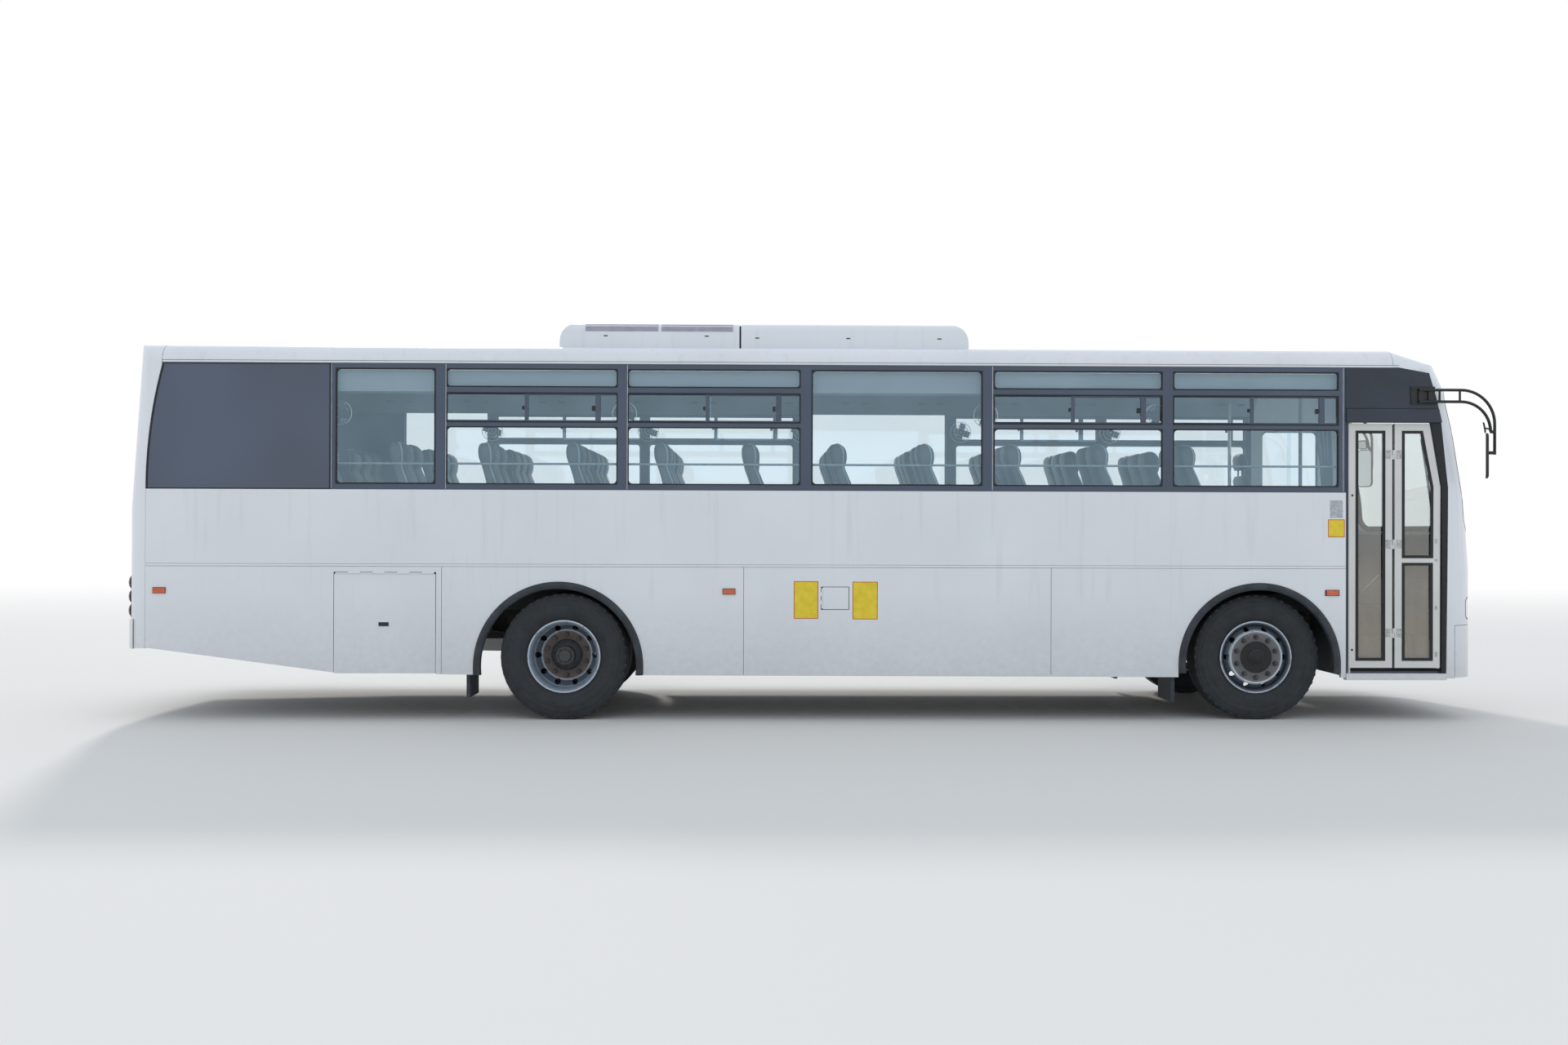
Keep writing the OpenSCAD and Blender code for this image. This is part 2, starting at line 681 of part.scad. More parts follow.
module roof_shell() {
    color(white) place() difference() {
        roof_prism(roof_rear_x + seam_gap / 2, roof_end_x - seam_gap / 2);
        roof_prism(roof_rear_x - 10, roof_end_x + 10, wall_t);
        span([roof_rear_x - 20, -half_w - 1, 100], [roof_end_x + 20, half_w + 1, band_top_z]);
    }
}

// Moulded front end
bend_z = sill_z + 48;             // the door's front edge leans back above this height
header_mid_z = door_top + 0.435 * (band_top_z - door_top);
DOOR_EDGE = [[nose_x - 484, band_top_z - 42], [nose_x - 421, header_mid_z], [nose_x - 379, door_top],
    [nose_x - 323, bend_z - 3], [nose_x - 340, skirt_z - 40]];
DOOR_HOLE = concat([[band_end_x, 200], [band_end_x, band_top_z + 1], [band_end_x + 440, band_top_z + 1]],
    DOOR_EDGE, [[nose_x - 340, 200]]);
bumper_top_z = skirt_z + 413;
module front_region() {
    joint = seam_gap / 2;
    side_plate(-half_w - 100, half_w + 100) polygon([[band_end_x + joint, nose_low_z],
        [nose_x - 267, nose_low_z], [nose_x - 267, bumper_top_z + seam_gap],
        [nose_x + 200, bumper_top_z + seam_gap], [nose_x + 200, above_roof],
        [roof_end_x + joint, above_roof], [roof_end_x + joint, band_top_z],
        [band_end_x + joint, band_top_z]]);
}

// The opening for the windscreen, drawn in y and height
module screen_outline(inset) {
    offset_rect(120 - half_w + inset, sill_z - 320 + inset, half_w - 120 - inset, band_top_z - 160 - inset,
        140 - inset);
}

module offset_rect(x0, y0, x1, y1, r) {
    translate([x0 + r, y0]) square([x1 - x0 - 2 * r, y1 - y0]);
    translate([x0, y0 + r]) square([x1 - x0, y1 - y0 - 2 * r]);
    for (x = [x0 + r, x1 - r]) for (y = [y0 + r, y1 - r]) translate([x, y]) circle(r);
}

DRIVER = [band_end_x + 112, sill_z - 75, nose_x - 505, band_top_z - 365];
LAMPS = [lean_z - 395, lean_z - 220];    // low and high edge of headlamps and grille
module driver_outline(inset) {
    offset_rect(DRIVER[0] + inset, DRIVER[1] + inset, DRIVER[2] - inset, DRIVER[3] - inset, 50 - inset);
}

module front_mask() {
    color(white) place() difference() {
        intersection() {
            difference() {
                front_form(0);
                front_form(mask_t);
            }
            front_region();
        }
        side_plate(-half_w - 50, -half_w + 90) polygon(DOOR_HOLE);
        side_plate(half_w - 90, half_w + 50) driver_outline(0);
        cross_plate(nose_x - 700, nose_x + 100) screen_outline(0);
        cross_plate(nose_x - 300, nose_x + 100) offset_rect(-600, LAMPS[0], 600, LAMPS[1], 40);
        for (s = [-1, 1]) cross_plate(nose_x - 290, nose_x + 100) lamp_outline(s, 0);
    }
}

module lamp_outline(s, inset) {
    wide_y = half_w - 88;         // the lamp just turns the corner
    offset_rect((s == 1 ? 640 : -wide_y) + inset, LAMPS[0] + inset, (s == 1 ? wide_y : -640) - inset,
        LAMPS[1] - inset, 40 - inset);
}

module windscreen() {
    color(glass) place() intersection() {
        difference() {
            front_form(6);
            front_form(6 + glass_t);
        }
        cross_plate(nose_x - 700, nose_x + 100) screen_outline(eps);
    }
}

module driver_window() {
    color(glass) place() {
        side_plate(half_w - 30, half_w - 30 + glass_t) intersection() {
            driver_outline(eps);
            translate([DRIVER[0], DRIVER[1]]) square([290, 900]);
        }
        side_plate(half_w - 16, half_w - 16 + glass_t) intersection() {
            driver_outline(eps);
            translate([DRIVER[0] + 260, DRIVER[1]]) square([400, 900]);
        }
    }
}

module front_grille() {
    color(black) place() {
        intersection() {
            translate([0, 0, 700]) linear_extrude(400) difference() {
                nose_plan(30);
                nose_plan(mask_t);
            }
            cross_plate(nose_x - 300, nose_x + 100)
                offset_rect(-600 + eps, LAMPS[0] + eps, 600 - eps, LAMPS[1] - eps, 40 - eps);
        }
        for (z = [LAMPS[0] + 20 : 34 : LAMPS[1] - 40]) intersection() {
            translate([0, 0, z]) linear_extrude(14) difference() {
                nose_plan(6);
                nose_plan(31);
            }
            span([nose_x - 300, -590, z - 1], [nose_x + 1, 590, z + 20]);
        }
    }
}

module headlamps() {
    color(silver) place() for (s = [-1, 1]) intersection() {
        translate([0, 0, 700]) linear_extrude(400) difference() {
            nose_plan(3);
            nose_plan(mask_t);
        }
        cross_plate(nose_x - 290 + eps, nose_x + 100) lamp_outline(s, eps);
    }
}

module bumpers() {
    color(white) place() difference() {
        bumper_shells();
        for (s = [-1, 1]) {
            translate([nose_x - 80, s * 200, skirt_z + 150]) rotate([0, 90, 0]) cylinder(h = 100, r = 4);
            translate([tail_x - 30, s * 200, tail_z + 126]) rotate([0, 90, 0]) cylinder(h = 100, r = 4);
        }
    }
}

module bumper_shells() {
    union() {
        intersection() {
            translate([0, 0, nose_low_z + 5]) linear_extrude(bumper_top_z - nose_low_z - 5) difference() {
                nose_plan(0);
                nose_plan(mask_t);
            }
            span([nose_x - 263, -half_w - 1, 0], [nose_x + 1, half_w + 1, 900]);
        }
        for (side = [RIGHT, LEFT]) on_side(side) {
            span([nose_x - 130 + eps, rail_y - 50, rail_top - 220],
                [nose_x - 45, rail_y, bumper_top_z - 13]);
            span([tail_x + 45, rail_y - 50, rail_top - 230], [tail_x + 130 - eps, rail_y, rail_top - 80]);
        }
        intersection() {
            translate([0, 0, tail_z]) linear_extrude(236) difference() {
                tail_plan(-14);
                tail_plan(mask_t);
            }
            span([tail_x - 20, -half_w - 20, 0], [tail_x + 120, half_w + 20, 900]);
        }
    }
}

// Moulded rear end
module rear_region() {
    side_plate(-half_w - 100, half_w + 100) difference() {
        translate([tail_x - 100, tail_z + 6])
            square([roof_rear_x - seam_gap / 2 - tail_x + 100, above_roof - tail_z]);
        translate([tail_x - 200, 0]) square([325, tail_z + 239]);
        translate([seam_rear_x - seam_gap / 2, 0]) square([400, sill_z]);
        intersection() {
            translate([seam_rear_x + 4000 - seam_gap, sill_z]) circle(4000, $fn = 1440);
            translate([seam_rear_x - 10, sill_z - 1]) square([400, band_top_z - sill_z + 1]);
        }
    }
}

LAMP_Z = [tail_z + 306, tail_z + 421, tail_z + 536];
module lamp_hole(s, z, inset) {
    translate([s * (half_w - 240), z]) circle(50 - inset);
}

module rear_screen_outline(inset) {
    offset_rect(370 - half_w + inset, sill_z + 85 + inset, half_w - 370 - inset, band_top_z - 245 - inset,
        110 - inset);
}

module rear_mask() {
    color(white) place() difference() {
        intersection() {
            difference() {
                rear_form(0);
                rear_form(mask_t);
            }
            rear_region();
        }
        cross_plate(tail_x - 50, tail_x + 300) rear_screen_outline(0);
        for (s = [-1, 1]) for (z = LAMP_Z) cross_plate(tail_x - 50, tail_x + 300) lamp_hole(s, z, 0);
    }
}

module rear_window() {
    color(glass) place() intersection() {
        difference() {
            rear_lean(0, 7);
            rear_lean(0, 7 + glass_t);
        }
        cross_plate(tail_x - 50, tail_x + 300) rear_screen_outline(eps);
    }
}

module tail_lamps() {
    color([0.7, 0.1, 0.08]) place() for (s = [-1, 1]) for (z = LAMP_Z)
        cross_plate(tail_x + 46, tail_x + 84) lamp_hole(s, z, eps);
}

// Entrance
pivot_x = band_end_x + 40;
pivot_y = -half_w + 42;
leaf_y = -half_w + 18;            // outer face of the leaves
leaf_reach = (door_w - 87) / 2;
hinge_x = pivot_x + 12 + leaf_reach;
leaf_front_x = band_end_x + door_w;

strip_z = leaf_z0 - 39;           // lower end of the seals round the door
module door_surround() {
    color(black) place() {
        side_plate(-half_w, -half_w + mask_t) polygon([[band_end_x + eps, door_top],
            [band_end_x + eps, band_top_z - 1], [band_end_x + 438, band_top_z - 1],
            [DOOR_EDGE[0][0] - 1, DOOR_EDGE[0][1] - 1], [DOOR_EDGE[1][0] - 1, header_mid_z],
            [DOOR_EDGE[2][0] - 1, door_top]]);
        side_plate(-half_w - 10, -half_w + 3) polygon([[band_end_x + 4, door_top + 2],
            [band_end_x + 4, door_top + 111], [DOOR_EDGE[2][0] - 26, door_top + 111],
            [DOOR_EDGE[2][0] - 2, door_top + 2]]);
        side_plate(-half_w + 10, -half_w + 50) polygon([[leaf_front_x + 10, strip_z],
            [leaf_front_x + 14, bend_z + 5], [leaf_front_x - 76, door_top + 2],
            [DOOR_EDGE[2][0] - 1, door_top + 2], [DOOR_EDGE[3][0] - 1, bend_z - 3],
            [DOOR_EDGE[4][0] - 1, strip_z]]);
        span([band_end_x + eps, -half_w + 4, strip_z], [band_end_x + 14, -half_w + 50, door_top + 2]);
        span([band_end_x + 18, -half_w + mask_t - 1, door_top + 16],
             [nose_x - 585, -half_w + 190, door_top + 146]);
    }
}

module door_sill() {
    color(white) place() span([band_end_x + 2, -half_w - 8, strip_z - 60],
        [DOOR_EDGE[4][0] - 1, -half_w + 60 - eps, strip_z - 6]);
}

module leaf_a_outline(inset) {
    translate([pivot_x - 12 + inset, leaf_z0 + inset])
        square([hinge_x - 11 - pivot_x + 12 - 2 * inset, leaf_z1 - leaf_z0 - 2 * inset]);
}

module leaf_b_outline(inset) {
    polygon([[hinge_x + 11 + inset, leaf_z0 + inset], [leaf_front_x - inset, leaf_z0 + inset],
        [leaf_front_x + 4 - inset, bend_z + 3], [leaf_front_x - 86 - inset, leaf_z1 - inset],
        [hinge_x + 11 + inset, leaf_z1 - inset]]);
}

HINGES = [leaf_z0 + 287, leaf_z0 + 1018, leaf_z1 - 255];
mid_rail_z = leaf_z0 + 861;
mid_rail_h = 46;
module door_leaf_rear() {
    color([0.8, 0.78, 0.75]) place() {
        difference() {
            union() {
                side_plate(leaf_y, leaf_y + leaf_t) difference() {
                    leaf_a_outline(0);
                    leaf_a_outline(leaf_bar);
                }
                translate([pivot_x, pivot_y, strip_z - 6 + eps])
                    cylinder(h = door_top - strip_z + 6 - 2 * eps, r = 12);
            }
            for (z = HINGES) translate([hinge_x - 12, leaf_y - 1, z - 41]) cube([13, 14, 82]);
        }
        for (z = HINGES) {
            translate([hinge_x, leaf_y, z - 40]) cylinder(h = 38, r = 8);
            translate([hinge_x, leaf_y, z - 39]) cylinder(h = 76, r = 4);
            span([hinge_x - 30, leaf_y - 1.2, z - 40], [hinge_x, leaf_y + 0.2, z - 2]);
        }
    }
}

module door_leaf_front() {
    color([0.8, 0.78, 0.75]) place() {
        difference() {
            union() {
                side_plate(leaf_y, leaf_y + leaf_t) difference() {
                    leaf_b_outline(0);
                    difference() {
                        leaf_b_outline(leaf_bar);
                        translate([hinge_x, mid_rail_z]) square([door_w / 2, mid_rail_h]);
                    }
                }
                for (z = HINGES) {
                    translate([hinge_x, leaf_y, z]) cylinder(h = 38, r = 8);
                    span([hinge_x, leaf_y - 1.2, z], [hinge_x + 30, leaf_y + 0.2, z + 38]);
                }
            }
            for (z = HINGES) translate([hinge_x, leaf_y, z - 1]) cylinder(h = 40, r = 4 + fit);
        }
    }
}

module door_glass_rear() {
    color(glass) place() side_plate(leaf_y + 14, leaf_y + 14 + glass_t) leaf_a_outline(leaf_bar + eps);
}

module door_glass_front() {
    color(glass) place() side_plate(leaf_y + 14, leaf_y + 14 + glass_t) difference() {
        leaf_b_outline(leaf_bar + eps);
        translate([hinge_x, mid_rail_z - eps]) square([door_w / 2, mid_rail_h + 2 * eps]);
    }
}

module hatch() {
    latch_x = HATCH[0] + 363;
    latch_z = HATCH[1] + 388;
    color(white) place() mirror([0, 1, 0]) difference() {
        union() {
            span([HATCH[0] + 5, half_w - 25, HATCH[1] + 8],
                [HATCH[2] - 5, half_w, hatch_hinge_z - barrel_r - 1]);
            hatch_barrels(0);
            span([latch_x, half_w - 1, latch_z], [latch_x + 90, half_w + 6, latch_z + 40]);
        }
        translate([HATCH[0], hinge_axis_y, hatch_hinge_z]) rotate([0, 90, 0])
            cylinder(h = hatch_w, r = 2.5 + fit);
    }
}

module fuel_flap() {
    color(white) place() mirror([0, 1, 0]) difference() {
        union() {
            span([flap_hinge_x + barrel_r + 1, half_w - 15, FLAP[1] + 5],
                [FLAP[2] - 5, half_w, FLAP[3] - 5]);
            flap_barrels(0);
        }
        translate([flap_hinge_x, hinge_axis_y, FLAP[1]]) cylinder(h = FLAP[3] - FLAP[1], r = 2.5 + fit);
    }
}

// Moulded rubber lip with a rolled outer face, open towards the ground
module arch_lip(x, z, r) {
    roll = 22;
    difference() {
        translate([x, 0, z]) rotate([-90, 0, 0]) rotate_extrude($fn = 180) polygon([
            [r - lip_w, half_w - skirt_t], [r - lip_w, half_w + 8], [r - lip_w + 8, half_w + roll - 5],
            [r - lip_w / 2, half_w + roll], [r - 8, half_w + roll - 8], [r - eps, half_w + 2],
            [r - eps, half_w - skirt_t]]);
        span([x - r - 100, half_w - skirt_t - 1, z - r - 1], [x + r + 100, half_w + roll + 1, z - 70]);
    }
}

module wheel_arches() {
    color(black) place() for (side = [RIGHT, LEFT]) on_side(side) {
        for (a = [[rear_arch_x, rear_arch_z, rear_arch_r], [front_arch_x, front_arch_z, front_arch_r]])
            arch_lip(a[0], a[1], a[2]);
        span([rear_arch_x - rear_arch_r - 58, half_w - 430, 180],
             [rear_arch_x - rear_arch_r - 28, half_w - skirt_t - eps, seam_z - 360]);
        span([front_arch_x - front_arch_r - 52, half_w - 450, 150],
             [front_arch_x - front_arch_r - 22, half_w - skirt_t - eps, seam_z - 640]);
    }
}

// Cross-section of the housings, their bottom following the roof's crown in short flats
module ac_outline() {
    w = ac_w / 2;
    top = crown_top_z + ac_h;
    n = 18;
    polygon(concat([for (i = [0 : n]) [-w + i * 2 * w / n, roof_z(-w + i * 2 * w / n) + 0.5]],
        [for (a = [0 : 15 : 90]) [w - 70 + 70 * cos(a), top - 70 + 70 * sin(a)]],
        [for (a = [90 : 15 : 180]) [70 - w + 70 * cos(a), top - 70 + 70 * sin(a)]]));
}

// Housings of the roof unit: rear end, front end and the radius of each end
ac_x = rear_arch_x - 36;
AC_PARTS = [[ac_x, ac_x + 1499, 150, 12], [ac_x + 1514, ac_x + 3419, 12, 150]];
module ac_unit() {
    top = crown_top_z + ac_h;
    color(white) place() for (r = AC_PARTS) intersection() {
        cross_plate(r[0], r[1]) ac_outline();
        side_plate(-ac_w / 2 - 10, ac_w / 2 + 10) polygon(concat(
            [[r[1], crown_top_z - 300], [r[0], crown_top_z - 300]],
            [for (a = [180 : -15 : 90]) [r[0] + r[2] * (1 + cos(a)), top - r[2] * (1 - sin(a))]],
            [for (a = [90 : -15 : 0]) [r[1] - r[3] * (1 - cos(a)), top - r[3] * (1 - sin(a))]]));
    }
}

// Two bent tubes side by side carry the mirror's stalk
mirror_y = half_w + 18;
mirror_z = band_top_z - 184;      // upper tube
mirror_bend_x = mirror_tip_x - 289;
module bent_tube(x, z, r) {
    translate([x, mirror_y, z - r]) rotate([90, 0, 0]) rotate_extrude(angle = 90, $fn = 96)
        translate([r, 0]) circle(12);
}

module mirrors() {
    color(black) place() for (side = [RIGHT, LEFT]) on_side(side) {
        tip_x = mirror_tip_x - 12.5;
        start_x = nose_x - 520;
        span([start_x - 120, half_w + eps, mirror_z - 121], [start_x + 80, half_w + 8, mirror_z + 29]);
        for (x = [start_x - 60, start_x + 20])
            span([x, half_w + 6, mirror_z - 110], [x + 40, mirror_y, mirror_z]);
        for (t = [[mirror_z, tip_x - mirror_bend_x], [mirror_z - 96, tip_x - mirror_bend_x - 34]]) {
            rod([start_x - 60, mirror_y, t[0]], [mirror_bend_x + 0.5, mirror_y, t[0]], 12);
            bent_tube(mirror_bend_x, t[0], t[1]);
        }
        for (x = [start_x + 113, mirror_bend_x - 12])
            rod([x, mirror_y, mirror_z - 96], [x, mirror_y, mirror_z], 10);
        rod([tip_x, mirror_y, mirror_z - tip_x + mirror_bend_x + 0.5],
            [tip_x, mirror_y, mirror_z - 530], 12.5);
        rod([tip_x - 34, mirror_y, mirror_z - 341], [tip_x, mirror_y, mirror_z - 346], 13);
        rod([tip_x, mirror_y, mirror_z - 515], [tip_x - 50, mirror_y + 4, mirror_z - 515], 14);
        translate([tip_x - 52, mirror_y + 8, mirror_z - 540]) rotate([0, 0, 24])
            translate([-26, -95, -185]) cube([26, 190, 370]);
    }
}

// Place of the front's outer face at a height, at a distance from the centre line
function face_x(y, z, i = 0) = nose_x - y * y / (2 * nose_bow_r) - lean_to(z, i);
function lean_to(z, i) = i >= len(NOSE_LEAN) || z < NOSE_LEAN[i][0] ? 0
    : (min(z, i + 1 < len(NOSE_LEAN) ? NOSE_LEAN[i + 1][0] : 9999) - NOSE_LEAN[i][0])
        * tan(NOSE_LEAN[i][1]) + lean_to(z, i + 1);

module wipers() {
    color(black) place() for (s = [-1, 1]) {
        y = 100 + s * 330;
        z = sill_z - 385;
        rod([face_x(y, z) + 2.8, y, z], [face_x(y, z) + 38, y, z], 14);
        rod([face_x(y, z) + 30, y, z], [face_x(y, z + 570) + 28, y, z + 570], 7);
        rod([face_x(y, z + 210) + 27, y, z + 210], [face_x(y, z + 890) + 23, y, z + 890], 8);
    }
}

module side_markers() {
    color([0.85, 0.33, 0.18]) place() for (side = [RIGHT, LEFT]) on_side(side)
        for (x = [seam_rear_x + 62, rear_arch_x + 1338, band_end_x - 163])
            span([x, half_w + eps, seam_z - 230], [x + 100, half_w + 13, seam_z - 188]);
}

// Saloon
// Side view of a seat: two legs, a cushion with a round front edge and a leaning back with a round head
module seat_profile() {
    polygon([[-90, 0], [-60, 0], [0, 330], [-44, 330]]);
    polygon([[200, 0], [235, 0], [200, 330], [160, 330]]);
    polygon([[-60, 320], [375, 330], [375, 470], [-20, 460]]);
    translate([375, 400]) circle(70);
    polygon([[-60, 320], [-20, 460], [-30, 520], [head_x + 62, back_h - 190], [head_x + 62, back_h - 62],
        [head_x - 62, back_h - 62], [head_x - 50, back_h - 190], [-115, 420]]);
    translate([head_x, back_h - 62]) circle(62);
}

head_x = -190;
seat_y = band_in_y - 23;
first_seat_x = band_end_x - 1090;
bench_x = tail_x + 395;
seat_rows = 1 + floor((first_seat_x - bench_x - 530) / seat_pitch);
module seat_rows_from(x0, rows, y0, y1) {
    for (i = [0 : rows - 1]) translate([x0 - i * seat_pitch, 0, floor_z + eps])
        side_plate(y0, y1) seat_profile();
}

module seats_right() {
    color([0.45, 0.5, 0.5]) place() seat_rows_from(first_seat_x, seat_rows, -seat_y, 2 * place_w - seat_y);
}

module seats_left() {
    color([0.45, 0.5, 0.5]) place() {
        seat_rows_from(first_seat_x, seat_rows, seat_y - 3 * place_w, seat_y);
        seat_rows_from(bench_x, 1, 240 - half_w, half_w - 240);
    }
}

module driver_seat() {
    color([0.3, 0.32, 0.34]) place() {
        translate([band_end_x - 62, 0, floor_z + eps]) side_plate(half_w - 730, half_w - 270)
            polygon([[-90, 250], [-60, 400], [-200, 900], [-160, 930], [-60, 560], [-20, 440], [340, 450],
                [370, 400], [330, 300], [0, 250]]);
        span([band_end_x - 32, half_w - 650, floor_z + eps],
            [band_end_x + 248, half_w - 350, floor_z + 260]);
    }
}

dash_x = nose_x - 465;
dash_z = floor_z + 380;
wheel_mid_y = half_w - 500;
module dashboard() {
    color([0.2, 0.21, 0.22]) place() {
        difference() {
            intersection() {
                front_form(mask_t + 2);
                span([dash_x, -half_w, floor_z + eps], [nose_x, half_w, dash_z]);
            }
            span([0, -half_w, 0], [step_x1 + 20, -230, dash_z + 1]);
            span([0, -231, 0], [nose_x - 110, 400, floor_z + 190]);
            span([dash_x - 1, half_w - 850, floor_z], [dash_x + 190, half_w - 160, floor_z + 230]);
        }
        rod([dash_x + 1, wheel_mid_y, dash_z - 130], [dash_x - 190, wheel_mid_y, dash_z + 150], 30);
        translate([dash_x - 195, wheel_mid_y, dash_z + 158]) rotate([0, -34, 0]) {
            rotate_extrude($fn = 96) translate([215, 0]) circle(14);
            for (a = [30 : 120 : 270]) rotate([0, 0, a]) rod([0, 0, 0], [212, 0, 0], 10);
        }
    }
}

module engine_cover() {
    color([0.3, 0.31, 0.32]) place() difference() {
        span([front_x + 160, 4 - well_y, floor_z + eps], [nose_x - 490, 420, floor_z + 350]);
        span([front_x + 190, 11 - well_y, floor_z - 10], [nose_x - 489, 390, floor_z + 320]);
    }
}

module air_ducts() {
    color([0.75, 0.76, 0.76]) place() for (side = [RIGHT, LEFT]) on_side(side)
        cross_plate(tail_x + 500, band_end_x - 32) polygon([[band_in_y - eps, band_top_z - 225],
            [band_in_y - eps, band_top_z - 15], [band_in_y - 45, band_top_z + 35],
            [band_in_y - 335, band_top_z + 85], [band_in_y - 385, band_top_z - 5],
            [band_in_y - 135, band_top_z - 233]]);
}

guard_z = sill_z + 215;
stanchion_x = band_end_x - 42;
module guard_rails() {
    color(silver) place() {
        on_side(RIGHT) {
            y = band_in_y - 9 - eps;
            rod([WINDOWS[5][0] - 48, y, guard_z], [band_end_x - 32, y, guard_z], 9);
        }
        translate([stanchion_x, -300, floor_z + eps]) cylinder(h = 1800, r = 16);
        rod([stanchion_x, -300, sill_z + 25], [stanchion_x, -band_in_y + eps, sill_z + 25], 14);
    }
}

// Steered and driven wheels
arm_x = front_x - steer_arm;
module knuckle() {
    difference() {
        union() {
            for (z = [tyre_r - 83, tyre_r + 45]) {
                translate([front_x, kingpin_y, z]) cylinder(h = 38, r = 46);
                span([front_x - 45, kingpin_y, z], [front_x + 45, front_wheel_y - 60, z + 38]);
            }
            span([front_x - 60, front_wheel_y - 82, tyre_r - 83],
                [front_x + 60, front_wheel_y - 50, tyre_r + 83]);
            cross_cylinder(front_x, tyre_r, front_wheel_y - 80, front_wheel_y + 80, 32);
            hull() {
                translate([front_x, kingpin_y, tyre_r - 83]) cylinder(h = 20, r = 40);
                translate([arm_x, kingpin_y, tyre_r - 83]) cylinder(h = 20, r = 26);
            }
        }
        translate([front_x, kingpin_y, tyre_r - 115]) cylinder(h = 250, r = 20 + fit);
        translate([arm_x, kingpin_y, tyre_r - 115]) cylinder(h = 100, r = 12 + fit);
    }
}

module knuckle_left() {
    color(steel) place() knuckle();
}

module knuckle_right() {
    color(steel) place() mirror([0, 1, 0]) knuckle();
}

module tie_rod() {
    color(steel) place() {
        rod([arm_x, -kingpin_y, tyre_r - 110], [arm_x, kingpin_y, tyre_r - 110], 16);
        for (s = [-1, 1]) {
            translate([arm_x, s * kingpin_y, tyre_r - 130]) cylinder(h = 42, r = 26);
            translate([arm_x, s * kingpin_y, tyre_r - 115]) cylinder(h = 62, r = 12);
        }
    }
}

// Tyre section in radius and width about the wheel's middle plane
module tyre_section() {
    k = tyre_w / 280;
    w = rim_w / 2;
    h = tyre_r - bead_r;
    polygon([[bead_r, w - 11], [bead_r + 12, w - 1], [bead_r + 0.19 * h, 124 * k],
        [bead_r + 0.37 * h, 136 * k], [bead_r + 0.54 * h, 140 * k], [bead_r + 0.72 * h, 137 * k],
        [bead_r + 0.87 * h, 128 * k],
        [tyre_r - 10, 120 * k], [tyre_r - 3, 110 * k], [tyre_r, 90 * k], [tyre_r, -90 * k],
        [tyre_r - 3, -110 * k], [tyre_r - 10, -120 * k], [bead_r + 0.87 * h, -128 * k],
        [bead_r + 0.72 * h, -137 * k], [bead_r + 0.54 * h, -140 * k], [bead_r + 0.37 * h, -136 * k],
        [bead_r + 0.19 * h, -124 * k], [bead_r + 12, 1 - w], [bead_r, 11 - w], [bead_r, 39 - w],
        [bead_r + 20, 25 - w], [bead_r + 0.54 * h, -120 * k], [bead_r + 0.8 * h, -110 * k],
        [tyre_r - 24, -80 * k], [tyre_r - 24, 80 * k], [bead_r + 0.8 * h, 110 * k],
        [bead_r + 0.54 * h, 120 * k], [bead_r + 20, w - 25], [bead_r, w - 39]]);
}

module wheel_turn(x, y) {
    translate([x, y, tyre_r]) rotate([-90, 0, 0]) rotate_extrude($fn = 180) children();
}

module tyre(x, y) {
    wheel_turn(x, y) tyre_section();
}

// Rim barrel with flanges; the disc sits at the given offset, outward positive
module rim_section(disc) {
    w = rim_w / 2;
    polygon([[bead_r - eps, w - 6], [bead_r + 12, w + 2], [bead_r + 12, w + 8], [bead_r - 4, w + 8],
        [bead_r - 14, w - 4],
        [bead_r - 24, w - 45], [bead_r - 24, 45 - w], [bead_r - 14, 4 - w], [bead_r - 4, -w - 8],
        [bead_r + 12, -w - 8], [bead_r + 12, -w - 2], [bead_r - eps, 6 - w], [bead_r - eps, 39 - w],
        [bead_r - 13, 45 - w], [bead_r - 13, w - 45], [bead_r - eps, w - 39]]);
    s = disc > 0 ? 1 : -1;
    polygon([[bead_r - 22, s * 30], [bead_r - 22, s * 70], [bead_r - 71, disc], [60, disc],
        [60, disc - s * 14],
        [bead_r - 78, disc - s * 14], [bead_r - 36, s * 30]]);
}

module rim(x, y, disc) {
    difference() {
        wheel_turn(x, y) rim_section(disc);
        for (i = [0 : 9]) translate([x, y, tyre_r]) rotate([0, i * 36 + 18, 0])
            translate([0, 0, bead_r - 53]) rotate([90, 0, 0]) cylinder(h = 400, r = 24, center = true);
    }
}

module front_hub() {
    wheel_turn(front_x, front_wheel_y) polygon([[32 + fit, -44], [32 + fit, 85], [0, 85], [0, 130],
        [64, 130],
        [68, 118], [132, 118], [132, 98], [70, 96], [70, 40], [200, 40], [200, -40], [185, -40],
        [185, 25], [60, 25], [60, -44]]);
}

module rear_hub() {
    face = 110 - twin_pitch;
    back = -110 - twin_pitch;
    wheel_turn(0, rear_wheel_y) polygon([[45 + fit, back], [45 + fit, 30], [75, 30], [75, -80], [150, -110],
        [150, face], [205, face], [205, back], [188, back], [188, face - 30], [75, face - 30], [75, back]]);
}

module rim_front_left() {
    color(silver) place() {
        rim(front_x, front_wheel_y, 118);
        front_hub();
    }
}

module rim_front_right() {
    color(silver) place() mirror([0, 1, 0]) {
        rim(front_x, front_wheel_y, 118);
        front_hub();
    }
}

module twin_rims() {
    rim(0, rear_wheel_y, -110);
    rim(0, rear_wheel_y - twin_pitch, 110);
    rear_hub();
}

module rim_rear_left() {
    color(silver) place() twin_rims();
}

module rim_rear_right() {
    color(silver) place() mirror([0, 1, 0]) twin_rims();
}

module tyre_front_left() {
    color(black) place() tyre(front_x, front_wheel_y);
}

module tyre_front_right() {
    color(black) place() tyre(front_x, -front_wheel_y);
}

module tyre_rear_left() {
    color(black) place() for (d = [0, twin_pitch]) tyre(0, rear_wheel_y - d);
}

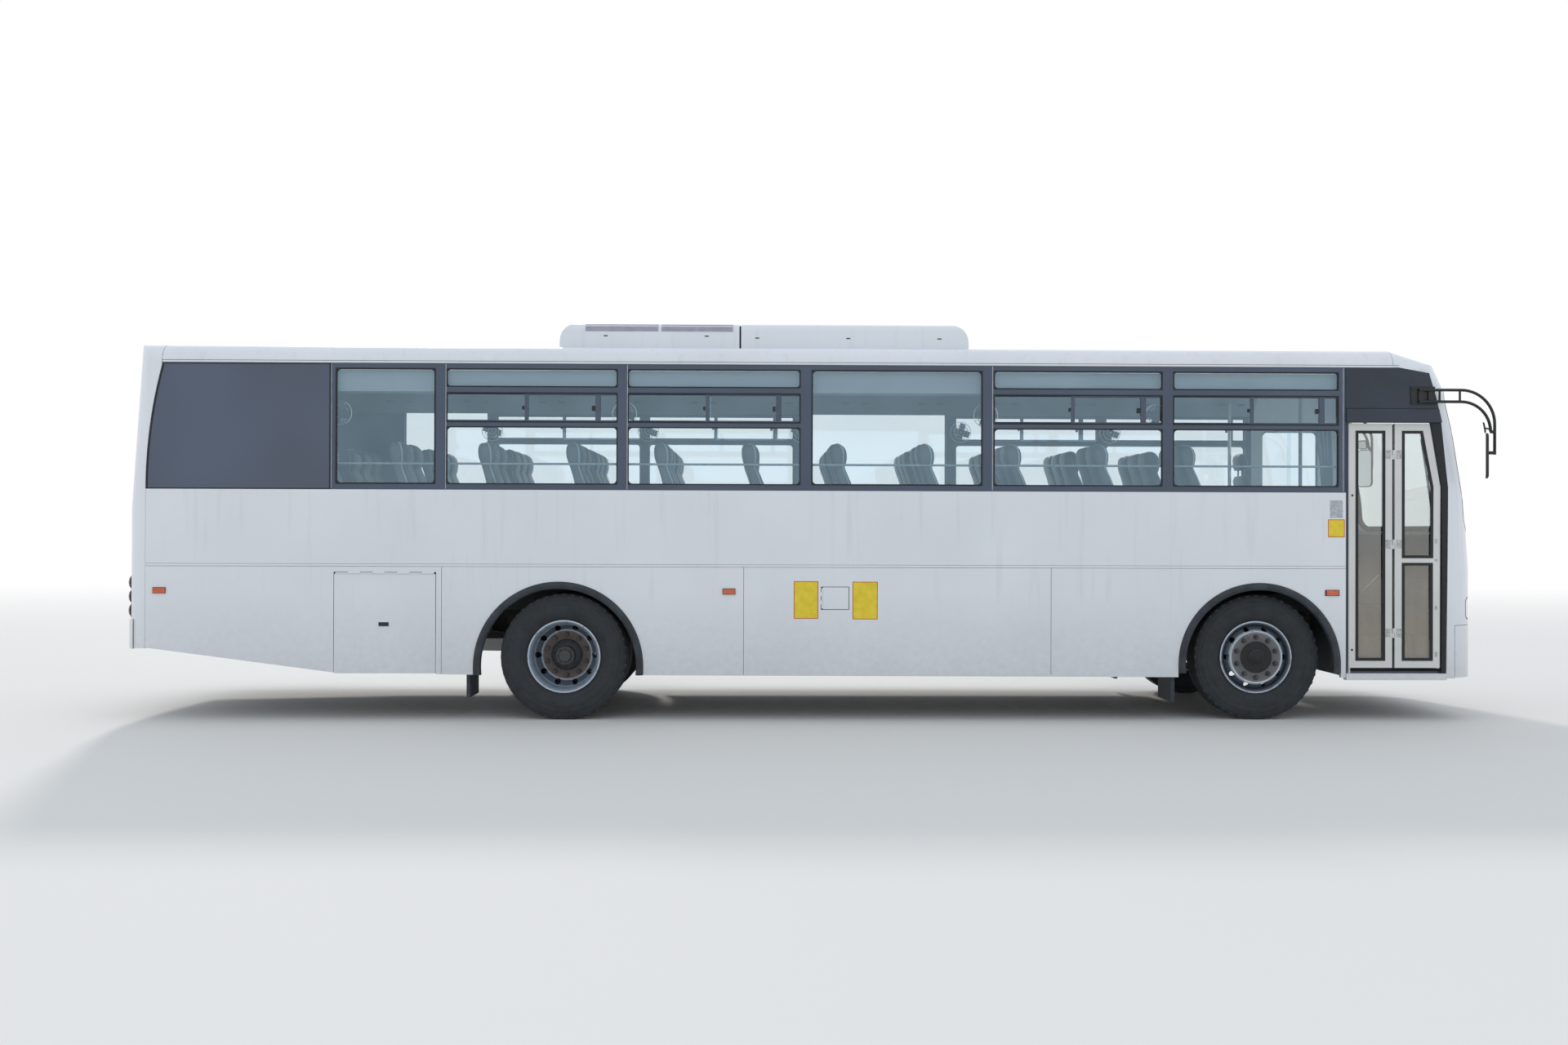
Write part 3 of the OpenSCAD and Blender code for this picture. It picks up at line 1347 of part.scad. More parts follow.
module tyre_rear_right() {
    color(black) place() for (d = [0, twin_pitch]) tyre(0, -rear_wheel_y + d);
}

chassis_frame();
front_axle();
rear_axle();
driveline();
fuel_tank();
silencer();
floor_deck();
side_panels_right();
side_panels_left();
window_band_right();
window_band_left();
side_glass_right();
side_glass_left();
quarter_panels();
roof_shell();
front_mask();
rear_mask();
bumpers();
front_grille();
door_surround();
door_sill();
driver_window();
windscreen();
rear_window();
wheel_arches();
ac_unit();
mirrors();
wipers();
headlamps();
tail_lamps();
side_markers();
seats_right();
seats_left();
driver_seat();
dashboard();
engine_cover();
air_ducts();
guard_rails();
knuckle_left();
knuckle_right();
tie_rod();
tyre_front_left();
tyre_front_right();
tyre_rear_left();
tyre_rear_right();
rim_front_left();
rim_front_right();
rim_rear_left();
rim_rear_right();
door_leaf_rear();
door_glass_rear();
door_leaf_front();
door_glass_front();
hatch();
fuel_flap();
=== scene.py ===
# %% [markdown]
# # A front-engined passenger bus, dressed for its picture
# The imported model gives every real size and every joint. This notebook adds what the eye looks
# for on such a bus: enamel that is not quite flat, tinted glass, worn tyres, padded seats,
# seals, hinges and lamps. The model is loaded first and stays as it is, and the box round it is
# kept.

# %% Load the imported model as the fixed frame
import math

import bpy
import bmesh
from mathutils import Matrix, Vector
from mathutils.bvhtree import BVHTree


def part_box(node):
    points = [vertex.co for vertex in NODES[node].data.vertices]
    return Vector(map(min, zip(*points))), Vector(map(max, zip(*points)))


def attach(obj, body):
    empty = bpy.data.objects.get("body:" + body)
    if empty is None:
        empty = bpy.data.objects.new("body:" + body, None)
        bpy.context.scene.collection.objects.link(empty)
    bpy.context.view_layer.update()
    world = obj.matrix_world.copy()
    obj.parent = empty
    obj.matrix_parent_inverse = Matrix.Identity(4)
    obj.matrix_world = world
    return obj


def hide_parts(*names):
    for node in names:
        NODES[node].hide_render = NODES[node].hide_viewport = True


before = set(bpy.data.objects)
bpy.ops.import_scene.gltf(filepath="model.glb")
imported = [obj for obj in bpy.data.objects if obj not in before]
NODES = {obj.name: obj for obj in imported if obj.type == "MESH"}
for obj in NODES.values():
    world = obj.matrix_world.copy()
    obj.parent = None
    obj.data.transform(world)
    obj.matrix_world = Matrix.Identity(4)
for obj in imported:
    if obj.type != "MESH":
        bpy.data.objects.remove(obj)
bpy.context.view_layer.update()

# %% [markdown]
# ## Where things are
# A bus is measured from its axles. The rear axle's place along the bus is read from the rear
# tyres, so that a part can be placed by its distance from the rear axle, as a coachbuilder
# would. Heights are above the ground, and the right side, with the door, faces -Y. Everything
# below is typed in millimetres, and two small functions turn that to Blender's metres.

# %% Millimetres and the places that everything hangs on
MM = 0.001
RIGHT, LEFT = -1, 1
SIDES = ((RIGHT, "right"), (LEFT, "left"))


def middle(node):
    low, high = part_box(node)
    return (low + high) / 2


REAR_AXLE_X = middle("tyre_rear_right").x
FRONT_AXLE_X = middle("tyre_front_right").x
AXLE_Z = middle("tyre_rear_right").z
HALF_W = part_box("side_panels_left")[1].y / MM
BAND_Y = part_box("window_band_left")[1].y / MM


def mm(x, y, z):
    """A step in millimetres."""
    return Vector((x, y, z)) * MM


def at(x, y, z):
    """A point: along the bus from the rear axle, left of the middle, above the ground."""
    return Vector((REAR_AXLE_X + x * MM, y * MM, z * MM))


print(f"axles at {REAR_AXLE_X:.3f} and {FRONT_AXLE_X:.3f} m, sides at {HALF_W:.0f} mm")

# %% [markdown]
# ## Building meshes
# Blender could build each part from its own primitives, but a bus has thousands of small parts.
# Here every added piece is one joined mesh instead: a list of corners and a list of faces,
# gathered by a small maker. A box and a skin over rings of corners cover nearly all of a bus. A
# bevel modifier then gives hard edges the small radius that catches light.

# %% A maker that gathers corners and faces
class Shape:
    def __init__(self):
        self.corners, self.faces = [], []

    def add(self, corners, faces):
        first = len(self.corners)
        self.corners += [Vector(c) for c in corners]
        self.faces += [[first + i for i in face] for face in faces]
        return self

    def join(self, *others, matrix=None):
        for other in others:
            self.add([matrix @ c for c in other.corners] if matrix else other.corners, other.faces)
        return self


def brick(low, high):
    """A box between two corners."""
    corners = [(x, y, z) for x in (low[0], high[0]) for y in (low[1], high[1]) for z in (low[2], high[2])]
    return Shape().add(corners, [(0, 1, 3, 2), (4, 6, 7, 5), (0, 4, 5, 1), (2, 3, 7, 6), (0, 2, 6, 4),
                                 (1, 5, 7, 3)])


def lofted(rings, looped=False):
    """Skin over rings of as many corners each, with both ends capped or closed into a loop."""
    n, count, faces = len(rings[0]), len(rings), []
    for i in range(count if looped else count - 1):
        a, b = i * n, (i + 1) % count * n
        faces += [(a + k, a + (k + 1) % n, b + (k + 1) % n, b + k) for k in range(n)]
    if not looped:
        faces += [tuple(range(n))[::-1], tuple(range((count - 1) * n, count * n))]
    return Shape().add([c for ring in rings for c in ring], faces)


def piece(name, shape, finish, body="coach", bevel=0.0, smooth=40, segments=2, replaces=None):
    """Makes the object, gives it its finish, and lets it ride on its body."""
    mesh = bpy.data.meshes.new(name)
    mesh.from_pydata([tuple(c) for c in shape.corners], [], shape.faces)
    work = bmesh.new()
    work.from_mesh(mesh)
    bmesh.ops.remove_doubles(work, verts=work.verts, dist=1e-6)
    bmesh.ops.recalc_face_normals(work, faces=work.faces)
    work.to_mesh(mesh)
    work.free()
    made = bpy.data.objects.new(name, mesh)
    bpy.context.scene.collection.objects.link(made)
    mesh.materials.append(finish)
    mesh.shade_smooth()
    if bevel:
        rounded_edge = made.modifiers.new("edge radius", "BEVEL")
        rounded_edge.width, rounded_edge.segments = bevel * MM, segments
        rounded_edge.limit_method, rounded_edge.angle_limit = "ANGLE", math.radians(35)
        rounded_edge.harden_normals = True
    mesh.set_sharp_from_angle(angle=math.radians(smooth))
    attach(made, body)
    if replaces:
        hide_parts(replaces)
    return made


print("the maker is ready")

# %% [markdown]
# ## Shader nodes
# Colours are written as sRGB hex, as a paint chart gives them, and turned to linear light once.
# One function adds a node with its settings and links, and gives the output that is read from
# it. Patterns are sized in millimetres: a noise node's scale is how many features fit in one
# metre. They could hang on unwrapped faces, but the object's own coordinates need no unwrapping
# and keep one size everywhere.

# %% Colour and node helpers
def srgb(hex_colour):
    channels = [int(hex_colour[i:i + 2], 16) / 255 for i in (1, 3, 5)]
    return tuple(c / 12.92 if c <= 0.04045 else ((c + 0.055) / 1.055) ** 2.4 for c in channels) + (1.0,)


def every(*sizes_mm):
    """A pattern's scale from the size of one feature, or from its sizes along three axes."""
    scales = [1000.0 / size for size in sizes_mm]
    return scales if len(scales) > 1 else scales[0]


def add(tree, kind, links=None, out=0, feeds=None, stops=(), **settings):
    """Adds a shader node with its settings, plain values, links and colour stops.

    It gives one output, which also drives a socket of the material's main shader if feeds names
    one."""
    node = tree.nodes.new("ShaderNode" + kind)
    for name, value in settings.items():
        setattr(node, name, value)
    for socket, value in (links or {}).items():
        if isinstance(value, bpy.types.NodeSocket):
            tree.links.new(value, node.inputs[socket])
        else:
            node.inputs[socket].default_value = value
    for i, (place, colour) in enumerate(stops):
        elements = node.color_ramp.elements
        stop = elements[i] if i < len(elements) else elements.new(place)
        stop.position, stop.color = place, srgb(colour)
    if feeds:
        tree.links.new(node.outputs[out], tree.nodes["Principled BSDF"].inputs[feeds])
    return node.outputs[out]


def start(name, **plain):
    """A new material with one Principled shader, whose plain values are set on its own sockets."""
    material = bpy.data.materials.new(name)
    material.use_nodes = True
    shader = material.node_tree.nodes["Principled BSDF"]
    for socket, value in plain.items():
        shader.inputs[socket.replace("_", " ")].default_value = value
    return material, material.node_tree, shader


def near_ground(tree, place, low, high):
    """1 up to a low height, falling to 0 at a high one."""
    z = add(tree, "SeparateXYZ", {"Vector": place}, out="Z")
    return add(tree, "MapRange", {"Value": z, "From Min": low * MM, "From Max": high * MM, "To Min": 1.0,
                                  "To Max": 0.0})


print("enamel white in linear light is", [round(c, 3) for c in srgb("#EAEBEC")[:3]])

# %% [markdown]
# ## Coach enamel
# The side is sheet steel and the ends are moulded glass fibre, all sprayed with the same
# off-white two-pack enamel. It gives the eye a soft gloss, a very slight ripple between the
# frames, and road dust that thickens towards the skirt. A plain white would look like plastic,
# so two noises make the dust and its runs, and a wide, faint one bends the reflections.

# %% Off-white two-pack coach enamel
def coach_enamel():
    material, tree, _ = start("coach_enamel_off_white", IOR=1.5, Coat_Weight=0.25, Coat_Roughness=0.12)
    place = add(tree, "TexCoord", out="Object")
    clouds = add(tree, "TexNoise", {"Vector": place, "Scale": every(900), "Detail": 3.0})
    fresh = add(tree, "ValToRGB", {"Fac": clouds}, stops=((0.3, "#E4E5E6"), (0.7, "#EAEBEC")))
    grit = add(tree, "TexNoise", {"Vector": place, "Scale": every(55), "Detail": 6.0, "Roughness": 0.7})
    dust = add(tree, "Math", {0: near_ground(tree, place, 330, 1050), 1: grit}, operation="MULTIPLY")
    dust = add(tree, "Math", {0: dust, 1: 0.55}, operation="MULTIPLY")
    stretched = add(tree, "Mapping", {"Vector": place, "Scale": every(55.56, 55.56, 909.1)})
    runs = add(tree, "TexNoise", {"Vector": stretched, "Scale": 1.0, "Detail": 4.0})
    runs = add(tree, "MapRange", {"Value": runs, "From Min": 0.56, "From Max": 0.8, "To Max": 0.16})
    marked = add(tree, "Math", {0: dust, 1: runs}, operation="MAXIMUM")
    add(tree, "Mix", {"Factor": marked, "A": fresh, "B": srgb("#A9A59C")}, out="Result", feeds="Base Color",
        data_type="RGBA")
    add(tree, "MapRange", {"Value": marked, "To Min": 0.28, "To Max": 0.7}, feeds="Roughness")
    wide = add(tree, "Mapping", {"Vector": place, "Scale": every(625, 625, 1428.6)})
    ripple = add(tree, "TexNoise", {"Vector": wide, "Scale": 1.0, "Detail": 1.0})
    add(tree, "Bump", {"Height": ripple, "Strength": 0.35, "Distance": 14 * MM}, feeds="Normal")
    return material


ENAMEL = coach_enamel()
print("made", ENAMEL.name)

# %% [markdown]
# ## The dark finishes of the window line
# The window band is pressed metal in dark slate enamel, and the rear quarter is toughened glass
# with a film behind it, so the one has a satin sheen and the other a clean, deeper gloss.
# Rubber is the plain one among them. Most finishes on a bus differ only in how their colour
# and gloss drift, so one function makes them, and each call gives its own sizes and colours.

# %% Dark slate enamel, filmed glass and rubber
def clouded(name, dark, light, size_mm, rough, detail=4.0, bump_mm=0.0, **plain):
    """A finish whose colour and roughness drift between two values, with an optional relief."""
    material, tree, _ = start(name, **plain)
    place = add(tree, "TexCoord", out="Object")
    drift = add(tree, "TexNoise", {"Vector": place, "Scale": every(size_mm), "Detail": detail})
    add(tree, "ValToRGB", {"Fac": drift}, feeds="Base Color", stops=((0.35, dark), (0.65, light)))
    add(tree, "MapRange", {"Value": drift, "To Min": rough[0], "To Max": rough[1]}, feeds="Roughness")
    if bump_mm:
        fine = add(tree, "TexNoise", {"Vector": place, "Scale": every(size_mm / 12), "Detail": 3.0})
        add(tree, "Bump", {"Height": fine, "Strength": 0.6, "Distance": bump_mm * MM}, feeds="Normal")
    return material


# Sprayed enamel on pressed steel: a satin sheen that runs along the band.
SLATE = clouded("slate_enamel_satin", "#3F4B5C", "#475467", 700, (0.3, 0.46), Coat_Weight=0.2,
                Coat_Roughness=0.2)
# The same paint in a darker shade over the door, where it has lost some gloss.
HEADER_ENAMEL = clouded("dark_header_enamel", "#252E3A", "#303A48", 500, (0.34, 0.5))
# Film behind toughened glass: one even dark tone under a sharp reflection.
FILMED_GLASS = clouded("filmed_quarter_glass", "#38465A", "#415067", 1100, (0.04, 0.09), detail=1.0,
                       IOR=1.52, Coat_Weight=0.5, Coat_Roughness=0.03)
# Extruded rubber: almost black, and greyed by dust.
RUBBER = clouded("epdm_seal_rubber", "#17191C", "#24272B", 45, (0.55, 0.8), bump_mm=0.3)
# Moulded rubber that has weathered: paler, with a soft grain.
ARCH_RUBBER = clouded("moulded_arch_rubber", "#23282D", "#383E45", 120, (0.5, 0.75), bump_mm=0.8)
print("made", SLATE.name, HEADER_ENAMEL.name, FILMED_GLASS.name, RUBBER.name, ARCH_RUBBER.name)

# %% [markdown]
# ## Tinted float glass
# Bus panes are float glass with a faint green-blue tint. A glass shader would bend what is
# behind it and darken the saloon, but flat, thin panes do neither, so light goes straight
# through with a tint. A film on the outer face mirrors a share of the bright surroundings in a
# colour that is painted in: on the side windows it is a painted reflection of blue sky, which
# turns a dark saloon blue-grey. The door's panes carry dried road dust as well, browned towards
# the bottom, and that brown is also a painted reflection of the ground.

# %% Tinted float glass, clear glass and mirror
def thin_glass(name, tint, sheen, share, with_dust_and_ground_reflection=False):
    """Lets light through with a tint, and mirrors a share of the surroundings on the face that is seen,
    coloured by a painted reflection tint.
    """
    material, tree, shader = start(name, Base_Color=srgb(sheen), Roughness=0.04, Metallic=1.0)
    place = add(tree, "TexCoord", out="Object")
    film = add(tree, "TexNoise", {"Vector": place, "Scale": every(420), "Detail": 3.0})
    film = add(tree, "MapRange", {"Value": film, "From Min": 0.25, "From Max": 0.75, "To Min": share * 0.85,
                                  "To Max": share * 1.15})
    mirrored = add(tree, "Math", {0: film, 1: add(tree, "Fresnel", {"IOR": 1.52})}, operation="ADD",
                   use_clamp=True)
    outward = add(tree, "Math", {0: 1.0, 1: add(tree, "NewGeometry", out="Backfacing")}, operation="SUBTRACT")
    mirrored = add(tree, "Math", {0: mirrored, 1: outward}, operation="MULTIPLY")
    clear = add(tree, "BsdfTransparent", {"Color": srgb(tint)})
    pane = add(tree, "MixShader", {0: mirrored, 1: clear, 2: shader.outputs[0]})
    if with_dust_and_ground_reflection:
        # Dust that thickens towards the bottom; its brown also stands as a painted reflection of the ground.
        stretched = add(tree, "Mapping", {"Vector": place, "Scale": every(111.1, 111.1, 454.5)})
        clouds = add(tree, "TexNoise", {"Vector": stretched, "Scale": 1.0, "Detail": 4.0})
        dust = add(tree, "Math", {0: near_ground(tree, place, 500, 1500), 1: clouds}, operation="MULTIPLY")
        dust = add(tree, "Math", {0: dust, 1: 0.75}, operation="MULTIPLY")
        dust_and_ground_reflection = add(tree, "BsdfDiffuse", {"Color": srgb("#B3A48E")})
        pane = add(tree, "MixShader", {0: dust, 1: pane, 2: dust_and_ground_reflection})
    tree.links.new(pane, tree.nodes["Material Output"].inputs["Surface"])
    return material


# Float glass with a factory tint: pale, and its mirror tinted blue as a painted reflection of sky.
TINTED_GLASS = thin_glass("tinted_float_glass", "#F9FCFD", "#BFE2F7", 0.16)
# Laminated glass: thicker, so a little greener, and with a weaker mirror, tinted blue-grey as a painted
# reflection of sky.
SCREEN_GLASS = thin_glass("laminated_screen_glass", "#F4F9F8", "#C6DCE4", 0.12)
# Clear glass in the door: neutral above, and browned below by dust that is also a painted reflection of the
# ground.
DOOR_GLASS = thin_glass("clear_door_glass", "#FAFBFB", "#E2E3DF", 0.17, with_dust_and_ground_reflection=True)
# A moulded clear lens: the bowls behind it stay in sight.
LENS_GLASS = thin_glass("clear_lamp_lens", "#F4F6F6", "#DDE2E6", 0.12)
# Silvered glass: a sharp, slightly grey mirror image.
MIRROR = start("silvered_mirror", Base_Color=srgb("#D5D9DC"), Metallic=1.0, Roughness=0.03)[0]
print("made", TINTED_GLASS.name, SCREEN_GLASS.name, DOOR_GLASS.name, LENS_GLASS.name, MIRROR.name)

# %% [markdown]
# ## Painted and rusting metals
# Paint on a working bus is chipped, and iron near the road rusts and takes dirt. Masks could be
# painted by hand, but a noise cut at the right share makes the same broken patches on every
# part. The rims are different: their finish is set in rings by the distance from the axle, with
# dirt and rust in the dish, a bright ring and lip, and a band of painted shade between them.

# %% Chipped paint, rust and banded rims with painted shade
RIM_REACH = 320


def painted_metal(name, dark, light, rust, rust_share, size_mm, rough, bump_mm=0.3, metallic=0.0):
    """Paint over metal, broken by rust and dirt where a noise passes the given share."""
    material, tree, _ = start(name)
    place = add(tree, "TexCoord", out="Object")
    noise = add(tree, "TexNoise", {"Vector": place, "Scale": every(size_mm), "Detail": 8.0,
                                   "Roughness": 0.65})
    broken = add(tree, "MapRange", {"Value": noise, "From Min": 1 - rust_share - 0.06,
                                    "From Max": 1 - rust_share + 0.06})
    wide = add(tree, "TexNoise", {"Vector": place, "Scale": every(size_mm * 5), "Detail": 3.0})
    paint = add(tree, "ValToRGB", {"Fac": wide}, stops=((0.3, dark), (0.7, light)))
    add(tree, "Mix", {"Factor": broken, "A": paint, "B": srgb(rust)}, out="Result", feeds="Base Color",
        data_type="RGBA")
    if metallic:
        add(tree, "MapRange", {"Value": broken, "To Min": metallic, "To Max": 0.0}, feeds="Metallic")
    add(tree, "MapRange", {"Value": noise, "To Min": rough[0], "To Max": rough[1]}, feeds="Roughness")
    add(tree, "Bump", {"Height": noise, "Strength": 0.5, "Distance": bump_mm * MM}, feeds="Normal")
    return material


def banded_rim(name, axle_x, bands):
    """Silver enamel that is bright, dusty, rusted or darkened with painted shade in rings about the axle, by
    radius.
    """
    material, tree, _ = start(name, Metallic=0.35)
    place = add(tree, "TexCoord", out="Object")
    off = add(tree, "VectorMath", {0: place, 1: (axle_x, 0.0, AXLE_Z)}, operation="SUBTRACT")
    flat = add(tree, "VectorMath", {0: off, 1: (1.0, 0.0, 1.0)}, operation="MULTIPLY")
    radius = add(tree, "VectorMath", {0: flat}, out="Value", operation="LENGTH")
    share = add(tree, "Math", {0: radius, 1: RIM_REACH * MM}, operation="DIVIDE")
    tone = add(tree, "ValToRGB", {"Fac": share}, stops=[(r / RIM_REACH, colour) for r, colour in bands])
    noise = add(tree, "TexNoise", {"Vector": place, "Scale": every(45), "Detail": 8.0, "Roughness": 0.65})
    dirt = add(tree, "MapRange", {"Value": noise, "From Min": 0.56, "From Max": 0.7, "To Max": 0.7})
    add(tree, "Mix", {"Factor": dirt, "A": tone, "B": srgb("#433E3A")}, out="Result", feeds="Base Color",
        data_type="RGBA")
    add(tree, "MapRange", {"Value": noise, "To Min": 0.3, "To Max": 0.6}, feeds="Roughness")
    add(tree, "Bump", {"Height": noise, "Strength": 0.4, "Distance": 0.3 * MM}, feeds="Normal")
    return material


# Enamelled steel disc: dull in the dish, with one bright ring, a dark blue-grey band of painted shade outside
# it, and a bright lip.
RIM_FRONT = banded_rim("front_wheel_enamel_painted_shade", FRONT_AXLE_X, (
    (120, "#5B595B"), (196, "#6F6E71"), (203, "#7F8185"), (207, "#C3CBD3"), (222, "#C3CBD3"),
    (229, "#58616B"), (262, "#4A535D"), (284, "#5D6670"), (289, "#C0C8D0")))
# The same disc turned round: rust creeps out from the axle end, and a blue-grey band outside the bright ring
# is painted shade.
RIM_REAR = banded_rim("rear_wheel_enamel_rusted_painted_shade", REAR_AXLE_X, (
    (120, "#4E4440"), (194, "#63564F"), (199, "#8B8B8C"), (203, "#C0C8D0"), (210, "#C0C8D0"),
    (216, "#66707B"), (250, "#6B7682"), (266, "#98A4B0"), (284, "#7F8B98"), (289, "#C4CCD4")))
# Cast and rusted: brown-black and quite rough.
HUB_IRON = painted_metal("rusted_hub_iron", "#403B39", "#514844", "#5F4A3E", 0.5, 40, (0.6, 0.9), 1.2)
# Forged nuts, once plated: dull glints among rust.
NUT_STEEL = painted_metal("dull_wheel_nut_steel", "#3C3F42", "#54585B", "#4A3A30", 0.45, 14, (0.35, 0.6),
                          metallic=0.5)
# Brushed chassis paint: black under brown road dust.
CHASSIS_PAINT = painted_metal("black_chassis_paint_dusty", "#26282A", "#3A3835", "#5D5145", 0.45, 180,
                              (0.55, 0.85))
# Sand-cast iron with oil on it: grey, blotched and coarse.
CAST_IRON = painted_metal("cast_iron_oily", "#3F4143", "#4C4D4D", "#5B4C41", 0.42, 120, (0.5, 0.85), 1.0)
# Brushed ivory enamel: warm, and grubby where hands touch it.
IVORY = painted_metal("ivory_leaf_enamel", "#D8D5CE", "#E2DFD9", "#9A948B", 0.24, 90, (0.35, 0.6), 0.1)
# Iron under grease: the darkest thing on the wheel.
HUB_GREASE = clouded("greasy_hub_cap_iron", "#0F1113", "#1B1E20", 40, (0.5, 0.75))
# Forged iron under dry dust: greyer, with a fine relief.
AXLE_END = clouded("dusty_axle_end_iron", "#2F3336", "#45494B", 26, (0.55, 0.8), bump_mm=0.6)
print("made", RIM_FRONT.name, "to", AXLE_END.name)

# %% [markdown]
# ## Tubes, plastics, films and lenses
# The small parts are drawn tube, moulded plastic, vinyl film and acrylic lenses. Each could be
# scanned, but at this distance only its tone, its gloss and one soft drift reach the eye, so
# all come from the same function. Grains finer than the picture shows are drawn coarser.

# %% Tube, plastics, films and lenses
# Rolled and anodised: pale, with a soft metallic streak.
ALUMINIUM = clouded("anodised_aluminium_trim", "#9DA4AB", "#B8BEC4", 60, (0.28, 0.45), Metallic=0.85)
# Pressed plates under worn ivory paint: chalky, with darker spots.
HINGE_STEEL = clouded("painted_hinge_steel_worn", "#A7A49E", "#CBC8C1", 18, (0.4, 0.65))
# Drawn tube that hands and dust have dulled: a flat blue-grey.
DULL_TUBE = clouded("dulled_aluminium_tube", "#7C8A92", "#93A1A8", 30, (0.45, 0.6), Metallic=0.4)
# Brushed stainless tube: bright, with broken highlights.
STAINLESS = clouded("brushed_stainless_tube", "#B5B9BC", "#CDD0D2", 8, (0.22, 0.4), Metallic=1.0)
# Moulded ABS with a leather grain: dark and matt.
GRAINED_PLASTIC = clouded("grained_abs_grey", "#33373B", "#3D4145", 30, (0.5, 0.65), bump_mm=0.35)
# Moulded black plastic: a shade glossier than rubber.
BLACK_PLASTIC = clouded("black_moulded_plastic", "#17191B", "#222528", 60, (0.4, 0.6), bump_mm=0.25)
# Gelcoat from a smooth mould: an even, soft grey.
DUCT_PLASTIC = clouded("duct_gelcoat_grey", "#8E9499", "#9BA1A5", 500, (0.4, 0.55))
# Plastic bars that the sun has bleached towards purple.
GRILLE_PLASTIC = clouded("roof_grille_plastic", "#ABA6B2", "#B9B4BF", 80, (0.5, 0.7))
# The mesh behind them: the same tone, darker, as painted shade in the recess behind the bars.
GRILLE_BED = clouded("roof_grille_mesh_painted_shade", "#7F7B88", "#8B8794", 60, (0.6, 0.8))
# Rolled sheet with flecks of about 6 mm: a speckled dark grey.
FLOOR_SHEET = clouded("pvc_floor_sheet", "#4A4D50", "#595C5F", 6, (0.5, 0.7), detail=2.0, bump_mm=0.2)
# Printed vinyl film, faded: the one strong colour on the side.
STICKER = clouded("faded_yellow_vinyl", "#E8C71C", "#F2D638", 60, (0.35, 0.5))
# Its printed edge: a thin warm line.
STICKER_EDGE = clouded("red_vinyl_border", "#C23A26", "#D2492F", 40, (0.35, 0.5))
# Glue that a film left behind: grey, with dirt stuck in it.
GREY_FILM = clouded("old_sticker_glue", "#A9ABAD", "#C6C7C9", 22, (0.6, 0.8))
# Moulded acrylic: deep colour under a clear gloss.
RED_LENS = clouded("red_acrylic_lens", "#8E1512", "#A81C16", 90, (0.08, 0.16), Coat_Weight=0.6)
AMBER_LENS = clouded("amber_acrylic_lens", "#C75427", "#DC6432", 40, (0.1, 0.2), Coat_Weight=0.6)
# Vacuum-coated plastic: a bright, soft mirror.
REFLECTOR = start("aluminised_reflector", Base_Color=srgb("#D9DBDD"), Metallic=1.0, Roughness=0.12)[0]
print("made", ALUMINIUM.name, "to", REFLECTOR.name)

# %% [markdown]
# ## Tyre rubber and seat vinyl
# Tyre rubber is moulded black and goes grey with road dust. Seat vinyl is embossed with a
# leather-like grain of about 2 mm, which would vanish in the picture and is drawn at 4 mm. Cell
# edges of a Voronoi pattern make that grain better than a noise does.

# %% Tyre rubber and embossed vinyl
def tyre_rubber():
    """Black sidewalls that have gone grey with road dust."""
    material, tree, _ = start("worn_tyre_rubber", IOR=1.5)
    place = add(tree, "TexCoord", out="Object")
    dust = add(tree, "TexNoise", {"Vector": place, "Scale": every(90), "Detail": 7.0, "Roughness": 0.7})
    add(tree, "ValToRGB", {"Fac": dust}, feeds="Base Color", stops=((0.32, "#1E2125"), (0.72, "#34383B")))
    add(tree, "MapRange", {"Value": dust, "To Min": 0.62, "To Max": 0.88}, feeds="Roughness")
    fine = add(tree, "TexNoise", {"Vector": place, "Scale": every(5), "Detail": 3.0})
    add(tree, "Bump", {"Height": fine, "Strength": 0.4, "Distance": 0.6 * MM}, feeds="Normal")
    return material


def seat_vinyl(name, dark, light, sheen=0.15):
    """Worn vinyl with an embossed grain."""
    material, tree, _ = start(name, IOR=1.48, Sheen_Weight=sheen, Sheen_Roughness=0.4)
    place = add(tree, "TexCoord", out="Object")
    wear = add(tree, "TexNoise", {"Vector": place, "Scale": every(260), "Detail": 4.0})
    add(tree, "ValToRGB", {"Fac": wear}, feeds="Base Color", stops=((0.35, dark), (0.7, light)))
    add(tree, "MapRange", {"Value": wear, "To Min": 0.42, "To Max": 0.58}, feeds="Roughness")
    grain = add(tree, "TexVoronoi", {"Vector": place, "Scale": every(4)}, feature="DISTANCE_TO_EDGE")
    add(tree, "Bump", {"Height": grain, "Strength": 0.5, "Distance": 0.8 * MM}, feeds="Normal")
    return material


TYRE = tyre_rubber()
# Embossed vinyl over foam: dark grey with a dull sheen on the crowns.
SEAT_VINYL = seat_vinyl("embossed_seat_vinyl_grey", "#3E474A", "#4B5558")
# Pale welts of the same vinyl: the lines that draw each seat.
PIPING = seat_vinyl("pale_piping_vinyl", "#8A979C", "#A3AFB3")
# Woven cloth: more sheen at its edges than vinyl has.
CURTAIN = seat_vinyl("grey_curtain_cloth", "#6E7C83", "#85939A", sheen=0.4)
# Padded vinyl on the engine cover: a shade warmer than the seats.
COVER_VINYL = seat_vinyl("quilted_engine_cover_vinyl", "#45464A", "#525357")
print("made", TYRE.name, SEAT_VINYL.name, PIPING.name, CURTAIN.name, COVER_VINYL.name)
